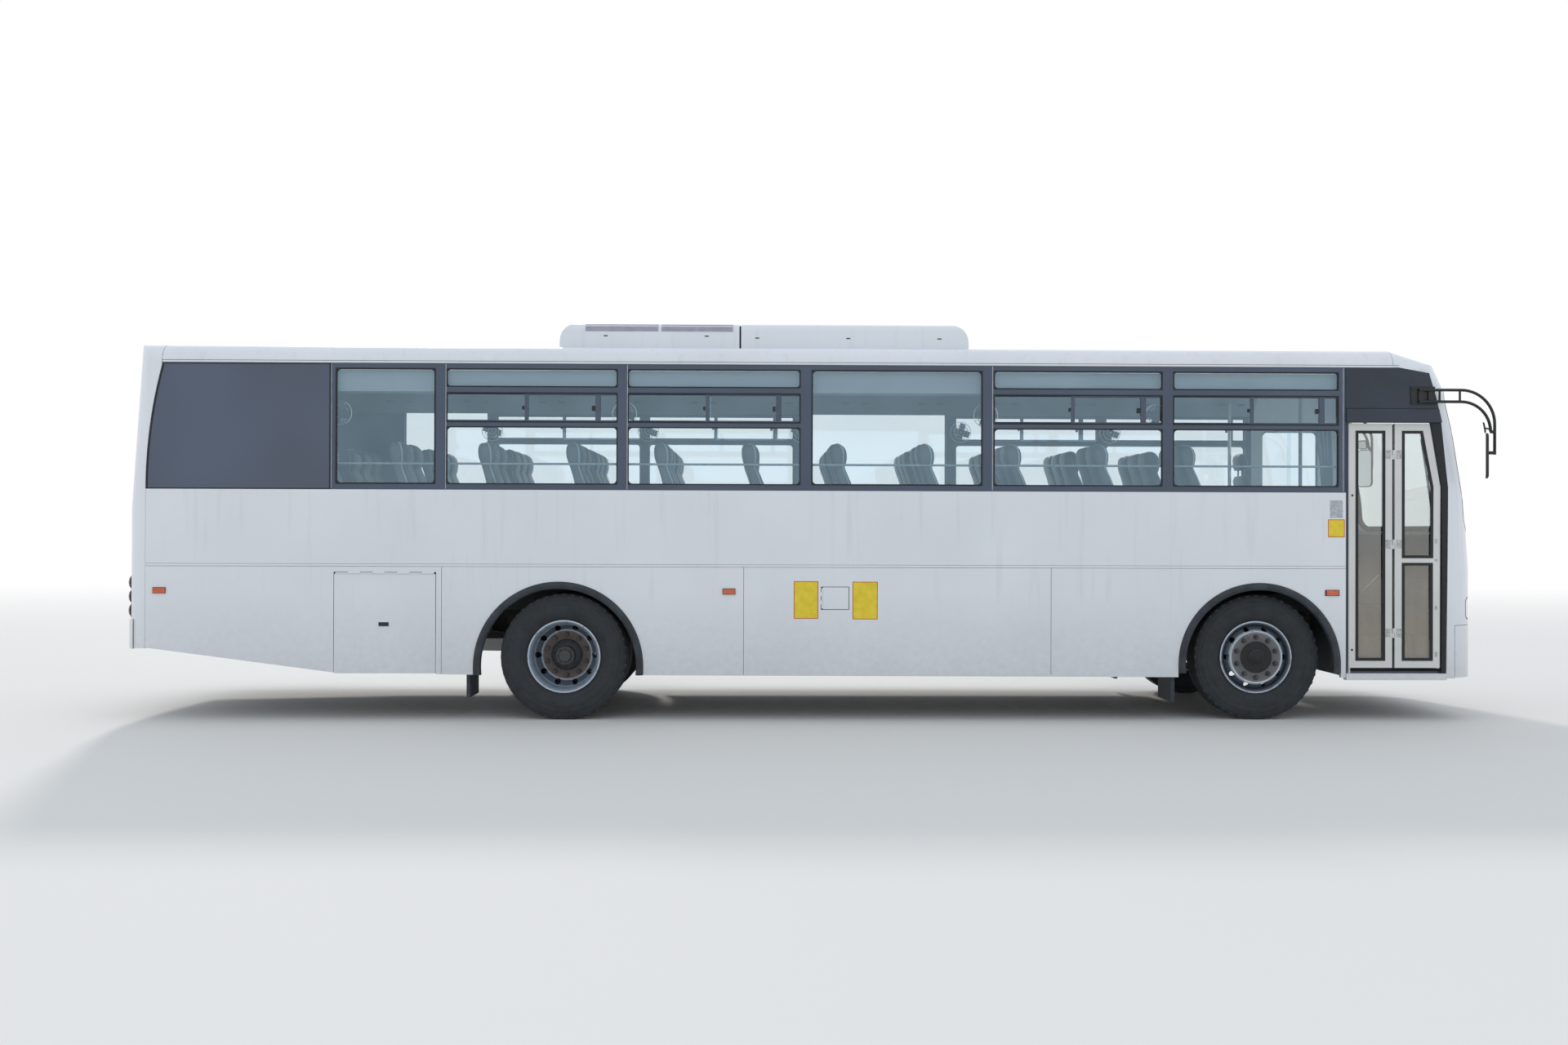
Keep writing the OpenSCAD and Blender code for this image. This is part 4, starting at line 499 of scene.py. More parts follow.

# %% [markdown]
# ## Finishing the imported pieces
# Where the imported solid already has the real shape, it stays and only gets its finish.

# %% Give each node its finish
FINISHES = (
    (CHASSIS_PAINT, "chassis_frame front_axle fuel_tank tie_rod"), (FLOOR_SHEET, "floor_deck"),
    (CAST_IRON, "rear_axle driveline knuckle_left knuckle_right"), (HUB_IRON, "silencer"),
    (ENAMEL, "side_panels_right side_panels_left roof_shell front_mask rear_mask bumpers door_sill ac_unit "
             "hatch fuel_flap"),
    (SLATE, "window_band_right window_band_left"), (HEADER_ENAMEL, "door_surround"),
    (TINTED_GLASS, "side_glass_right side_glass_left driver_window rear_window"),
    (SCREEN_GLASS, "windscreen"), (FILMED_GLASS, "quarter_panels"), (ARCH_RUBBER, "wheel_arches"),
    (BLACK_PLASTIC, "front_grille mirrors wipers"), (LENS_GLASS, "headlamps"), (RED_LENS, "tail_lamps"),
    (AMBER_LENS, "side_markers"), (SEAT_VINYL, "seats_right seats_left driver_seat"),
    (GRAINED_PLASTIC, "dashboard"), (COVER_VINYL, "engine_cover"), (DUCT_PLASTIC, "air_ducts"),
    (DULL_TUBE, "guard_rails"), (TYRE, "tyre_front_left tyre_front_right tyre_rear_left tyre_rear_right"),
    (RIM_FRONT, "rim_front_left rim_front_right"), (RIM_REAR, "rim_rear_left rim_rear_right"),
    (IVORY, "door_leaf_rear door_leaf_front"), (DOOR_GLASS, "door_glass_rear door_glass_front"))
for finish, names in FINISHES:
    for name in names.split():
        NODES[name].data.materials.clear()
        NODES[name].data.materials.append(finish)
print("finished", sum(len(names.split()) for _, names in FINISHES), "of", len(NODES), "nodes")

# %% [markdown]
# ## Tyres with tread
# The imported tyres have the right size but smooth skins. A real bus tyre shows five ribs between
# deep grooves, lugs on its shoulders, and rings moulded in the sidewall. Its profile is turned
# about the axle, which gives grooves and rings in one go. The lugs are bricks set round it.

# %% Tyres
TYRE_R, TREAD_HALF = 515.0, 106.0
GROOVES, GROOVE_HALF, GROOVE_DEEP = (-66, -23, 23, 66), 6.0, 13.0
WHEELBASE, FRONT_TRACK, REAR_TRACK = 5700, (1040,), (1085, 755)
WHEELS = {"front_left": (LEFT, WHEELBASE, FRONT_TRACK), "front_right": (RIGHT, WHEELBASE, FRONT_TRACK),
          "rear_left": (LEFT, 0, REAR_TRACK), "rear_right": (RIGHT, 0, REAR_TRACK)}


def arc(u, v, radius, start, end, steps):
    """Flat points on an arc round (u, v), between two angles in degrees."""
    turns = [math.radians(start + (end - start) * i / steps) for i in range(steps + 1)]
    return [(u + radius * math.cos(a), v + radius * math.sin(a)) for a in turns]


def circle(count, radius=1.0, first=0.0):
    """Flat points round a circle."""
    return arc(0, 0, radius, first, first + 360, count)[:-1]


def turned(profile, centre, sides=96, axis="Y", side=1):
    """A closed profile of (radius, distance along the axis), turned about a line through centre."""
    place = {"X": lambda u, v, d: mm(d, u, v), "Y": lambda u, v, d: mm(u, d, v),
             "Z": lambda u, v, d: mm(u, v, d)}[axis]
    return lofted([[centre + place(r * c, r * s, side * d) for r, d in profile] for c, s in circle(sides)],
                  looped=True)


def tyre_profile():
    """From the outer bead over the tread to the inner bead, and back along the inside."""
    side = [(288, 92), (298, 103), (312, 109), (318, 116), (322, 116.5), (326, 121), (345, 129), (349, 129),
            (352, 132.5), (372, 137), (396, 139.6), (414, 139.8), (418, 138.2), (422, 139.6), (447, 137.4),
            (462, 134.8), (465, 132.6), (469, 133.4), (486, 128), (500, 121.5), (508, 117), (513, 110)]
    tread = []
    for g in GROOVES[::-1]:
        tread += [(TYRE_R, g + GROOVE_HALF + 1.5), (TYRE_R - GROOVE_DEEP, g + GROOVE_HALF - 1.5),
                  (TYRE_R - GROOVE_DEEP, g - GROOVE_HALF + 1.5), (TYRE_R, g - GROOVE_HALF - 1.5)]
    inner = [(470, 92), (420, 118), (360, 116), (300, 84), (288, 62)]
    return (side + [(TYRE_R, TREAD_HALF)] + tread + [(TYRE_R, -TREAD_HALF)]
            + [(r, -d) for r, d in side[::-1]] + [(r, -d) for r, d in inner[::-1]] + inner)


def lugs(centre, count=44):
    """Short shoulder bars on both edges of the tread, staggered by half a step."""
    shape = Shape()
    for side, first in ((-1, 0.0), (1, 0.5)):
        low, high = sorted((side * 100, side * 122.5))
        bar = brick(mm(-14, low, -16), mm(14, high, -1.5))
        for k in range(count):
            turn = Matrix.Rotation(2 * math.pi * (k + first) / count, 4, "Y")
            shape.join(bar, matrix=Matrix.Translation(centre) @ turn @ Matrix.Translation(mm(0, 0, TYRE_R)))
    return shape


for place, (side, x, distances) in WHEELS.items():
    tread = Shape()
    for distance in distances:
        centre = at(x, side * distance, TYRE_R)
        tread.join(turned(tyre_profile(), centre, 120), lugs(centre))
    piece(f"tyre_{place}_tread", tread, TYRE, f"wheel_{place}", smooth=32, replaces=f"tyre_{place}")
print("tyres at", list(WHEELS))

# %% [markdown]
# ## Rim edges, nuts and hubs
# The front wheels show a convex disc with ten nuts standing on it and a dark greasy hub. The
# rear ones are dished, and a dusty axle end with eight bolts stands in the dish. All of it is
# turned about the axle, except the nuts, which are short bars with six sides.

# %% Rim edges, nuts and hubs
NUT_CIRCLE, BOLT_CIRCLE = 167.5, 62
FRONT_HUB = ("hub_cap", HUB_GREASE, RIM_FRONT, 118,
             [(2, 142), (36, 141), (56, 136), (64, 128), (69, 118.5), (131, 118.5), (133.5, 116),
              (133.5, 100), (2, 100)], [(203, 117.5), (208, 120.5), (216, 120.5), (223, 110)])
REAR_HUB = ("axle_end", AXLE_END, RIM_REAR, -96,
            [(2, 34), (52, 32), (73, 26), (78.5, 12), (78.5, -60), (118, -74), (130, -94), (2, -94)],
            [(199, -96.5), (202, -90.5), (206, -90.5), (209, -96.5)])


def round_bar(centre, radius, y0, y1, sides=24, first=0.0):
    """A bar across the bus. With six sides it is a nut."""
    return lofted([[centre + mm(u, y, v) for u, v in circle(sides, radius, first)] for y in (y0, y1)])


for place, (side, x, distances) in WHEELS.items():
    body, front = f"wheel_{place}", x == WHEELBASE
    centre = at(x, side * distances[0], TYRE_R)
    hub, hub_finish, rim_finish, face, middle_part, ring = FRONT_HUB if front else REAR_HUB
    lip = [(291.5 + 6.5 * c, 110 + 5.5 * s) for c, s in circle(10)]
    piece(f"rim_edge_{place}", turned(lip, centre, side=side), rim_finish, body)
    nuts = Shape()
    for k, (u, v) in enumerate(circle(10, NUT_CIRCLE, 18)):
        spot = centre + mm(u, side * face, v)
        nuts.join(round_bar(spot, 32 / math.sqrt(3), 0, side * 24, 6, math.degrees(0.3 * k)),
                  round_bar(spot, 21, 0, side * 6), round_bar(spot, 10.5, side * 24, side * 34, 12))
    piece(f"wheel_nuts_{place}", nuts, NUT_STEEL, body, bevel=1.0)
    piece(f"{hub}_{place}", turned(middle_part, centre, 64, side=side), hub_finish, body)
    piece(f"disc_ring_{place}", turned(ring, centre, 72, side=side), rim_finish, body)
    if not front:
        bolts = Shape()
        for u, v in circle(8, BOLT_CIRCLE):
            bolts.join(round_bar(centre + mm(u, side * 28, v), 17 / math.sqrt(3), 0, side * 12, 6))
        piece(f"axle_bolts_{place}", bolts, AXLE_END, body, bevel=0.8)
print("rim edges, nuts and hubs on", len(WHEELS), "wheels")

# %% [markdown]
# ## Window line
# Each pane sits in a dark rubber gasket with rounded corners. The sliding sashes have narrow
# stiles with a small latch, and pale sealant lines show where the wall's panels meet. A curve
# with a bevel could draw a gasket, but a flat ring between two outlines sits cleanly on the wall
# and costs few faces.

# %% Gaskets, sashes, latches and joints of the windows
WINDOW_X = ((-1852, -1046, False), (-955, 433, True), (520, 1926, True), (2020, 3418, False),
            (3514, 4898, True), (4989, 6353, True))
LOW_Z, LOW_TOP, SASH_Z, SASH_TOP, TOP_Z, HIGH_Z = 1923, 2390, 2428, 2668, 2716, 2863


def rounded(u0, v0, u1, v1, r, steps=5):
    """A rectangle with round corners, as flat points from its upper right corner round."""
    return (arc(u1 - r, v1 - r, r, 0, 90, steps) + arc(u0 + r, v1 - r, r, 90, 180, steps)
            + arc(u0 + r, v0 + r, r, 180, 270, steps) + arc(u1 - r, v0 + r, r, 270, 360, steps))


def frame_ring(outer, inner, y0, y1, looped=True):
    """A flat ring between two side-view outlines of as many points, between two distances across the bus."""
    return lofted([[at(ox, y0, oz), at(ox, y1, oz), at(ix, y1, iz), at(ix, y0, iz)]
                   for (ox, oz), (ix, iz) in zip(outer, inner)], looped)


def gasket(x0, z0, x1, z1, side, width, corner):
    """A rubber ring that laps over an opening and rounds its corners."""
    outer = rounded(x0 - 3, z0 - 3, x1 + 3, z1 + 3, 8)
    inner = rounded(x0 + width, z0 + width, x1 - width, z1 - width, corner)
    return frame_ring(outer, inner, side * (BAND_Y - 12), side * (BAND_Y + 2))


def slab(x0, z0, x1, z1, side, inward, outward, face=BAND_Y):
    """A flat box on the side, from so far inside its face to so far outside."""
    y0, y1 = sorted((side * (face - inward), side * (face + outward)))
    return brick(at(x0, y0, z0), at(x1, y1, z1))


for side, name in SIDES:
    seals, stiles, latches, lines, joints = (Shape() for _ in range(5))
    for x0, x1, slides in WINDOW_X:
        edge = 24 if slides else 30
        lines.join(slab(x0 + edge, HIGH_Z - 15, x1 - edge, HIGH_Z - 10, side, 10, -7))
        if not slides:
            seals.join(gasket(x0, LOW_Z, x1, HIGH_Z, side, 9, 30))
            continue
        for z0, z1, corner in ((LOW_Z, LOW_TOP, 30), (SASH_Z, SASH_TOP, 16), (TOP_Z, HIGH_Z, 24)):
            seals.join(gasket(x0, z0, x1, z1, side, 7, corner))
        for x, wide in ((x0 + 633, 32), (x0 + 1208, 44)):
            stiles.join(slab(x, SASH_Z + 4, x + wide, SASH_TOP - 4, side, 24, -6))
        for z0, z1 in ((SASH_Z + 5, SASH_Z + 19), (SASH_TOP - 18, SASH_TOP - 5)):
            stiles.join(slab(x0 + 8, z0, x1 - 8, z1, side, 24, -8))
        latches.join(slab(x0 + 1180, SASH_Z + 96, x0 + 1204, SASH_Z + 136, side, 12, -1),
                     slab(x0 + 612, SASH_Z + 104, x0 + 631, SASH_Z + 134, side, 12, -2))
    joints.join(*(slab(x, 1884, x + 5, 2899, side, 3, 0.8) for x in (-963, 512, 3499, 6390)))
    piece(f"window_gaskets_{name}", seals, RUBBER, smooth=30)
    piece(f"sash_stiles_{name}", stiles, SLATE, bevel=1.5)
    piece(f"sash_latches_{name}", latches, BLACK_PLASTIC, bevel=2)
    piece(f"pane_top_lines_{name}", lines, ALUMINIUM)
    piece(f"pillar_joints_{name}", joints, ALUMINIUM)

low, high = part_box("driver_window")
x0, x1 = ((corner.x - REAR_AXLE_X) / MM for corner in (low, high))
z0, z1 = low.z / MM, high.z / MM
piece("driver_window_gasket", frame_ring(rounded(x0 - 8, z0 - 8, x1 + 8, z1 + 8, 68, 8),
                                         rounded(x0 + 14, z0 + 14, x1 - 14, z1 - 14, 46, 8),
                                         HALF_W - 12, HALF_W + 3), RUBBER, smooth=30)
print("window line done on both sides, driver's window from", round(x0), "to", round(x1))

# %% [markdown]
# ## Seams of the side
# A pale drip bead runs along the roof's edge, a flat strip covers the waist seam, and thin dark
# lines of sealant part the skirt's panels. A dark line along the drip bead and one along each
# edge of the waist strip are painted shade. Grooves cut in the wall would be truer, but the wall
# is fixed, so each seam is a bar that stands less than a millimetre proud. The filmed quarter
# has its own seal, which follows its curved rear edge.

# %% Drip bead, waist strip, panel sealant, painted shade lines and quarter seals
SIDE_REAR, SIDE_FRONT, BEAD_REAR, QUARTER_FRONT = -3380, 6410, -3253, -1894
QUARTER_ARC_END = 180 - math.degrees(math.asin(1018 / 3995))
for side, name in SIDES:
    bead_end = 6850 if side == RIGHT else 6800
    piece(f"drip_bead_{name}", slab(BEAD_REAR, 2907, bead_end, 2921, side, 6, 5, HALF_W), ENAMEL, bevel=2.5,
          segments=3)
    # Dark lines along the drip bead and along both edges of the waist strip are painted shade; the upright
    # lines on the skirt are sealant.
    dark = slab(BEAD_REAR, 2921.5, bead_end, 2924.5, side, 6, 0.9, HALF_W)
    for z0, z1 in ((1248.6, 1250.4), (1269.6, 1271.2)):
        dark.join(slab(SIDE_REAR, z0, SIDE_FRONT, z1, side, 2, 0.7, HALF_W))
    dark.join(*(slab(x - 1.5, 374, x + 1.5, 1249, side, 4, 0.4, HALF_W) for x in (1468, 3984)))
    if side == RIGHT:
        dark.join(slab(-990, 378, -987.5, 1249, side, 2, 0.5, HALF_W))
    piece(f"panel_sealant_and_painted_shade_{name}", dark, RUBBER)
    piece(f"waist_strip_{name}", slab(SIDE_REAR, 1251, SIDE_FRONT, 1269, side, 3, 1.6, HALF_W), ENAMEL,
          bevel=0.8)
    outer, inner = (arc(618, 1875, radius, 180, QUARTER_ARC_END, 16) for radius in (4000, 3988))
    seal = frame_ring(outer, inner, side * (BAND_Y - 4), side * (BAND_Y + 2), looped=False)
    for x0, z0, z1 in ((QUARTER_FRONT - 11, 1884, 2897), (-3370, 1877, 1885), (-3240, 2893, 2900)):
        seal.join(slab(x0, z0, QUARTER_FRONT, z1, side, 4, 2))
    piece(f"quarter_gasket_{name}", seal, RUBBER)
    piece(f"quarter_joint_{name}", slab(-1890, 1884, -1886, 2897, side, 3, 1), ALUMINIUM)
print("beads, strips and seals done")

# %% [markdown]
# ## Entrance door
# Two narrow ivory leaves with clear glass in black rubber, three small hinge plates on each, a
# rubber finger guard between them, and keeps along the front edge. The front leaf's edge slants
# with the pillar, so its seals are drawn by moving each side of the pane's outline inwards. A
# handrail stands on the engine cover's side of the steps, and stays with the coach.

# %% Door seals, hinge plates, guard, header and stair handrail
LEAF_FACE = HALF_W - 18
HINGE_Z = (722, 1453, 2190)


def on_leaf(x0, z0, x1, z1, outward, inward=3):
    return slab(x0, z0, x1, z1, RIGHT, inward, outward, LEAF_FACE)


def inset_outline(corners, inset):
    """Moves each side of an outline of (x, z) corners inwards, whichever way it runs."""
    out, n = [], len(corners)
    area = sum(corners[i][0] * corners[(i + 1) % n][1] - corners[(i + 1) % n][0] * corners[i][1]
               for i in range(n))
    side = inset if area > 0 else -inset
    for i in range(n):
        (x0, z0), (x1, z1), (x2, z2) = corners[i - 1], corners[i], corners[(i + 1) % n]
        a, b = Vector((x1 - x0, z1 - z0)).normalized(), Vector((x2 - x1, z2 - z1)).normalized()
        normal = (Vector((-a.y, a.x)) + Vector((-b.y, b.x))).normalized()
        reach = side / max(0.3, normal.dot(Vector((-a.y, a.x))))
        out.append((x1 + normal.x * reach, z1 + normal.y * reach))
    return out


def leaf_seal(corners):
    """A black rubber frame just inside a pane's outline."""
    return frame_ring(inset_outline(corners, -4), inset_outline(corners, 19), 6 - LEAF_FACE, -3 - LEAF_FACE)


def plate(outline, y0, y1):
    """A side-view outline, given thickness across the bus from the side's face inwards."""
    return lofted([[at(x, y - HALF_W, z) for x, z in outline] for y in (y0, y1)])


def tube(points, radius, sides=12):
    """A round tube along points. The ring turns with the path without twisting."""
    rings, side = [], None
    for i, p in enumerate(points):
        before, after = points[max(i - 1, 0)], points[min(i + 1, len(points) - 1)]
        along = (after - before).normalized()
        side = side or along.orthogonal().normalized()
        side = (side - along * side.dot(along)).normalized()
        up = along.cross(side)
        rings.append([p + MM * (side * c + up * s) for c, s in circle(sides, radius)])
    return lofted(rings)


rear_seal = leaf_seal([(6502, 497), (6740, 497), (6740, 2383), (6502, 2383)])
front_seal = leaf_seal([(6886, 497), (7135, 497), (7135, 1296), (6886, 1296)])
front_seal.join(leaf_seal([(6886, 1342), (7137, 1342), (7139, 1926), (7052, 2383), (6886, 2383)]))
for name, seal, plate_x, screw_x in (("rear", rear_seal, 6742, 6758), ("front", front_seal, 6836, 6856)):
    piece(f"door_seal_{name}", seal, RUBBER, f"door_{name}", smooth=30)
    plates = Shape()
    for z in HINGE_Z:
        plates.join(on_leaf(plate_x, z - 36, plate_x + 48, z + 36, 1.3),
                    *(on_leaf(screw_x, z + dz - 6, screw_x + 12, z + dz + 6, 2.6) for dz in (-20, 20)))
    piece(f"door_hinge_plates_{name}", plates, HINGE_STEEL, f"door_{name}", bevel=0.6)
piece("finger_guard_rear", on_leaf(6800, 440, 6812, 2440, -2, 24), RUBBER, "door_rear", bevel=2)
buffers = on_leaf(6464, 1846, 6480, 1862, 4).join(on_leaf(6462, 575, 6478, 591, 4))
piece("door_buffers", buffers, RUBBER, "door_rear", bevel=3)
keeps = Shape().join(*(on_leaf(7156, z - high / 2, 7176, z + high / 2, 4)
                       for z, high in ((1478, 34), (1322, 20), (930, 34), (548, 40))))
piece("door_keeps", keeps, HINGE_STEEL, "door_front", bevel=2)
rail = tube([at(6924, -241, 1021), at(6928, -264, 1025), at(7078, -264, 1165), at(7082, -241, 1169)], 12, 14)
piece("stair_handrail", rail, STAINLESS, smooth=60)
header = ((6414, 2455), (6414, 2563), (7181, 2563), (7203, 2455))
piece("door_header_cover", plate(header, -12.5, -2), HEADER_ENAMEL, bevel=4, segments=3)
# A dark strip along the top of the header cover: a painted shadow of the cover's edge.
joint = ((6414, 2563.5), (6414, 2571), (7179, 2571), (7181, 2563.5))
piece("door_header_shadow_line", plate(joint, -1.5, 4), RUBBER)
front_strip = ((7207, 398), (7211, 1928), (7122, 2454), (7202, 2454), (7261, 1917), (7234, 398))
piece("door_front_rubber", plate(front_strip, 6, 12), RUBBER, bevel=2)
piece("door_rear_rubber", brick(at(6414, -1245, 398), at(6424, -1238, 2454)), RUBBER)
print("door dressed, leaves' face at", round(LEAF_FACE), "mm")

# %% [markdown]
# ## Markers, stickers and the hatch's handle
# Low orange markers stand on black bases, and the side carries faded yellow stickers with a red
# border, and a patch of old glue. Film is too thin to model truly. Each is a slab that stands
# half a millimetre proud, the face a little more than the border round it.

# %% Side markers, stickers, glue patch and hatch handle
bases = Shape()
for x, rim in ((-3320, 3), (1298, 3), (6249, 9)):
    bases.join(*(slab(x - rim, 1026, x + 100 + rim, 1076, side, 1, 5, HALF_W) for side in (RIGHT, LEFT)))
piece("marker_bases", bases, BLACK_PLASTIC, bevel=1.5)
for name, x0, z0, x1, z1 in (("mid_rear", 1877, 830, 2077, 1137), ("mid_front", 2357, 826, 2563, 1134),
                             ("by_door", 6264, 1508, 6402, 1655)):
    piece(f"sticker_{name}_face", slab(x0 + 6, z0 + 6, x1 - 6, z1 - 6, RIGHT, 1, 0.6, HALF_W), STICKER)
    piece(f"sticker_{name}_border", slab(x0, z0, x1, z1, RIGHT, 1, 0.35, HALF_W), STICKER_EDGE)
piece("old_glue_patch", slab(6280, 1668, 6385, 1812, RIGHT, 1, 0.3, HALF_W), GREY_FILM)
piece("hatch_handle", slab(-1496, 764, -1414, 796, RIGHT, 0, 10, HALF_W), BLACK_PLASTIC, "hatch", bevel=3)
print("markers and stickers done")

# %% [markdown]
# ## Roof unit
# The air conditioner on the roof has two long grilles on each shoulder of its rear cover, a row
# of small clips, and a dark joint between its two covers. The grilles follow the rounded edge,
# so each bar is an arc in cross-section, drawn out along the bus.

# %% Side grilles, clips and joint of the roof unit
AC_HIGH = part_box("ac_unit")[1] / MM
AC_ROUND, SLAT_STEP, SLAT_TURN = 70.0, 7.8, 5.6


def shoulder_bar(side, x0, x1, start, end, low_r, high_r, steps):
    """A bar along the bus on the unit's rounded edge, between two angles and two radii."""
    u, v = AC_HIGH.y - AC_ROUND, AC_HIGH.z - AC_ROUND
    profile = arc(u, v, high_r, start, end, steps) + arc(u, v, low_r, end, start, steps)
    return lofted([[at(x, side * u, v) for u, v in profile] for x in (x0, x1)])


beds, slats, clips = Shape(), Shape(), Shape()
for side in (RIGHT, LEFT):
    for x0, x1 in ((138, 747), (771, 1371)):
        for start_turn, end_turn in ((0, 40), (52, 63)):
            beds.join(shoulder_bar(side, x0 + 2, x1 - 2, start_turn, end_turn, AC_ROUND - 3,
                                   AC_ROUND + 0.4, 8))
        for k in range(5):
            turn = 1 + SLAT_STEP * k
            slats.join(shoulder_bar(side, x0, x1, turn, turn + SLAT_TURN, AC_ROUND - 2, AC_ROUND + 1.6, 2))
        slats.join(shoulder_bar(side, x0, x1, 54, 61, AC_ROUND - 2, AC_ROUND + 2, 2),
                   *(shoulder_bar(side, x, x + 7, 0, 40, AC_ROUND - 2, AC_ROUND + 1.8, 6)
                     for x in (x0, x1 - 7, (x0 + x1) / 2)))
    for x, down in ((307, 108), (1150, 108), (1572, 121), (2334, 121), (3098, 121)):
        clips.join(slab(x - 17, AC_HIGH.z - down - 4, x + 17, AC_HIGH.z - down + 5, side, 2, 1.5, AC_HIGH.y))
piece("roof_unit_grille_beds", beds, GRILLE_BED)
piece("roof_unit_grille_slats", slats, GRILLE_PLASTIC)
piece("roof_unit_clips", clips, BLACK_PLASTIC)
piece("roof_unit_joint", brick(at(1424, -930, 3090), at(1437, 930, 3262)), RUBBER)
print("roof unit up to", round(AC_HIGH.z), "mm")

# %% [markdown]
# ## Seats
# Twelve rows of high-backed vinyl seats, two and three abreast, with round heads and pale
# piping, and a bench with five places at the back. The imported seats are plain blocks, so padded
# ones take their place. A cushion is a grid that bulges, and a back is a skin over slices whose
# width pinches at the neck. Sculpting would cost far more faces for the same outline.

# %% Seats
ROW_X = [5322 - 725 * k for k in range(12)]
BENCH_X = -3220
SEAT_Z, PLACE, SEAT_EDGE = 1150.3, 400.0, 1172.0
BACK_SLICES = [
    (392, -36, -112, 0.90), (430, -22, -116, 0.96), (520, -14, -128, 0.98), (640, -26, -152, 0.98),
    (760, -54, -174, 0.97), (850, -90, -196, 0.95), (905, -114, -214, 0.86), (930, -120, -224, 0.80),
    (955, -110, -234, 0.82), (1000, -102, -248, 0.86), (1045, -104, -253, 0.86), (1080, -116, -251, 0.82),
    (1104, -136, -242, 0.72), (1116, -160, -228, 0.54), (1120, -184, -206, 0.30)]


def soft_box(x0, x1, y0, y1, z0, z1, edge_x=22, edge_y=14, crown=12):
    """A cushion with rounded edges, and a top that bulges by crown."""
    n, corners, faces = 10, [], []
    for i in range(n + 1):
        for j in range(n + 1):
            u, v = abs(2 * i / n - 1), abs(2 * j / n - 1)
            bulge = crown * (1 - u ** 4) * (1 - v ** 4)
            drop = 12 * (edge_x * max(0.0, u - 0.8) ** 2 + edge_y * max(0.0, v - 0.8) ** 2)
            corners.append(at(x0 + (x1 - x0) * i / n, y0 + (y1 - y0) * j / n, z1 - crown + bulge - drop))
    for i in range(n):
        for j in range(n):
            a = i * (n + 1) + j
            faces.append((a, a + 1, a + n + 2, a + n + 1))
    rim = ([i * (n + 1) for i in range(n)] + [n * (n + 1) + j for j in range(n)]
           + [i * (n + 1) + n for i in range(n, 0, -1)] + list(range(n, 0, -1)))
    base, count = len(corners), len(rim)
    corners += [Vector((corners[k].x, corners[k].y, z0 * MM)) for k in rim]
    faces += [(rim[k], rim[(k + 1) % count], base + (k + 1) % count, base + k) for k in range(count)]
    faces.append(tuple(range(base, base + count))[::-1])
    return Shape().add(corners, faces)


def back_pad(x, y0, y1, slices=BACK_SLICES):
    """A seat back over slices: height above the floor, front face, rear face, share of the width."""
    rings, centre_y, half = [], (y0 + y1) / 2, (y1 - y0) / 2
    for z, front, rear, share in slices:
        rings.append([at(x + (front + rear) / 2 + (front - rear) / 2 * math.copysign(abs(c) ** 0.6, c),
                         centre_y + half * share * math.copysign(abs(s) ** 0.42, s), SEAT_Z + z)
                      for c, s in circle(20)])
    return lofted(rings)


def back_piping(x, y0, y1):
    """A thin welt up one edge of the back, over the head and down the other."""
    centre_y, half = (y0 + y1) / 2, (y1 - y0) / 2
    edges = [[at(x + front - (front - rear) * 0.22, centre_y + way * half * share * 0.985, SEAT_Z + z)
              for z, front, rear, share in BACK_SLICES[1:]] for way in (-1, 1)]
    return tube(edges[0] + edges[1][::-1], 7.5, 6)


for name, first_y, places in (("right", -SEAT_EDGE, 2), ("left", SEAT_EDGE - 3 * PLACE, 3)):
    cushions, backs, welts, legs = (Shape() for _ in range(4))
    spots = [(x, first_y + k * PLACE + 6, first_y + (k + 1) * PLACE - 6, 440)
             for x in ROW_X for k in range(places)]
    last_y = first_y + places * PLACE
    for x in ROW_X:
        for y in (first_y + 60, last_y - 60):
            legs.join(tube([at(x - 60, y, SEAT_Z), at(x - 12, y, SEAT_Z + 330)], 16, 10),
                      tube([at(x + 222, y, SEAT_Z), at(x + 186, y, SEAT_Z + 330)], 16, 10))
        legs.join(brick(at(x - 70, first_y + 20, SEAT_Z + 326), at(x + 400, last_y - 20, SEAT_Z + 352)))
    if name == "left":
        spots += [(BENCH_X, k * PLACE - 996, k * PLACE - 604, 438) for k in range(5)]
        legs.join(brick(at(BENCH_X - 60, -1080, SEAT_Z), at(BENCH_X + 20, 1080, SEAT_Z + 352)),
                  brick(at(BENCH_X + 20, -1080, SEAT_Z + 320), at(BENCH_X + 390, 1080, SEAT_Z + 352)))
    for x, y0, y1, deep in spots:
        cushions.join(soft_box(x - 26, x + deep, y0, y1, SEAT_Z + 352, SEAT_Z + 474))
        backs.join(back_pad(x, y0 + 2, y1 - 2))
        welts.join(back_piping(x, y0 + 2, y1 - 2))
    cushions = piece(f"seat_cushions_{name}", cushions, SEAT_VINYL, smooth=50, replaces=f"seats_{name}")
    backs = piece(f"seat_backs_{name}", backs, SEAT_VINYL, smooth=60)
    piece(f"seat_piping_{name}", welts, PIPING, smooth=60)
    piece(f"seat_legs_{name}", legs, CHASSIS_PAINT)
    print(len(spots), "places on the", name)

# %% [markdown]
# ## Fans and air nozzles
# Small fans in wire guards hang on some window pillars, and the ducts under the roof carry a
# pair of round nozzles over each row. Behind tinted glass only their outline counts: hoops and
# thin wires, four flat blades, and a turned ring for each nozzle.

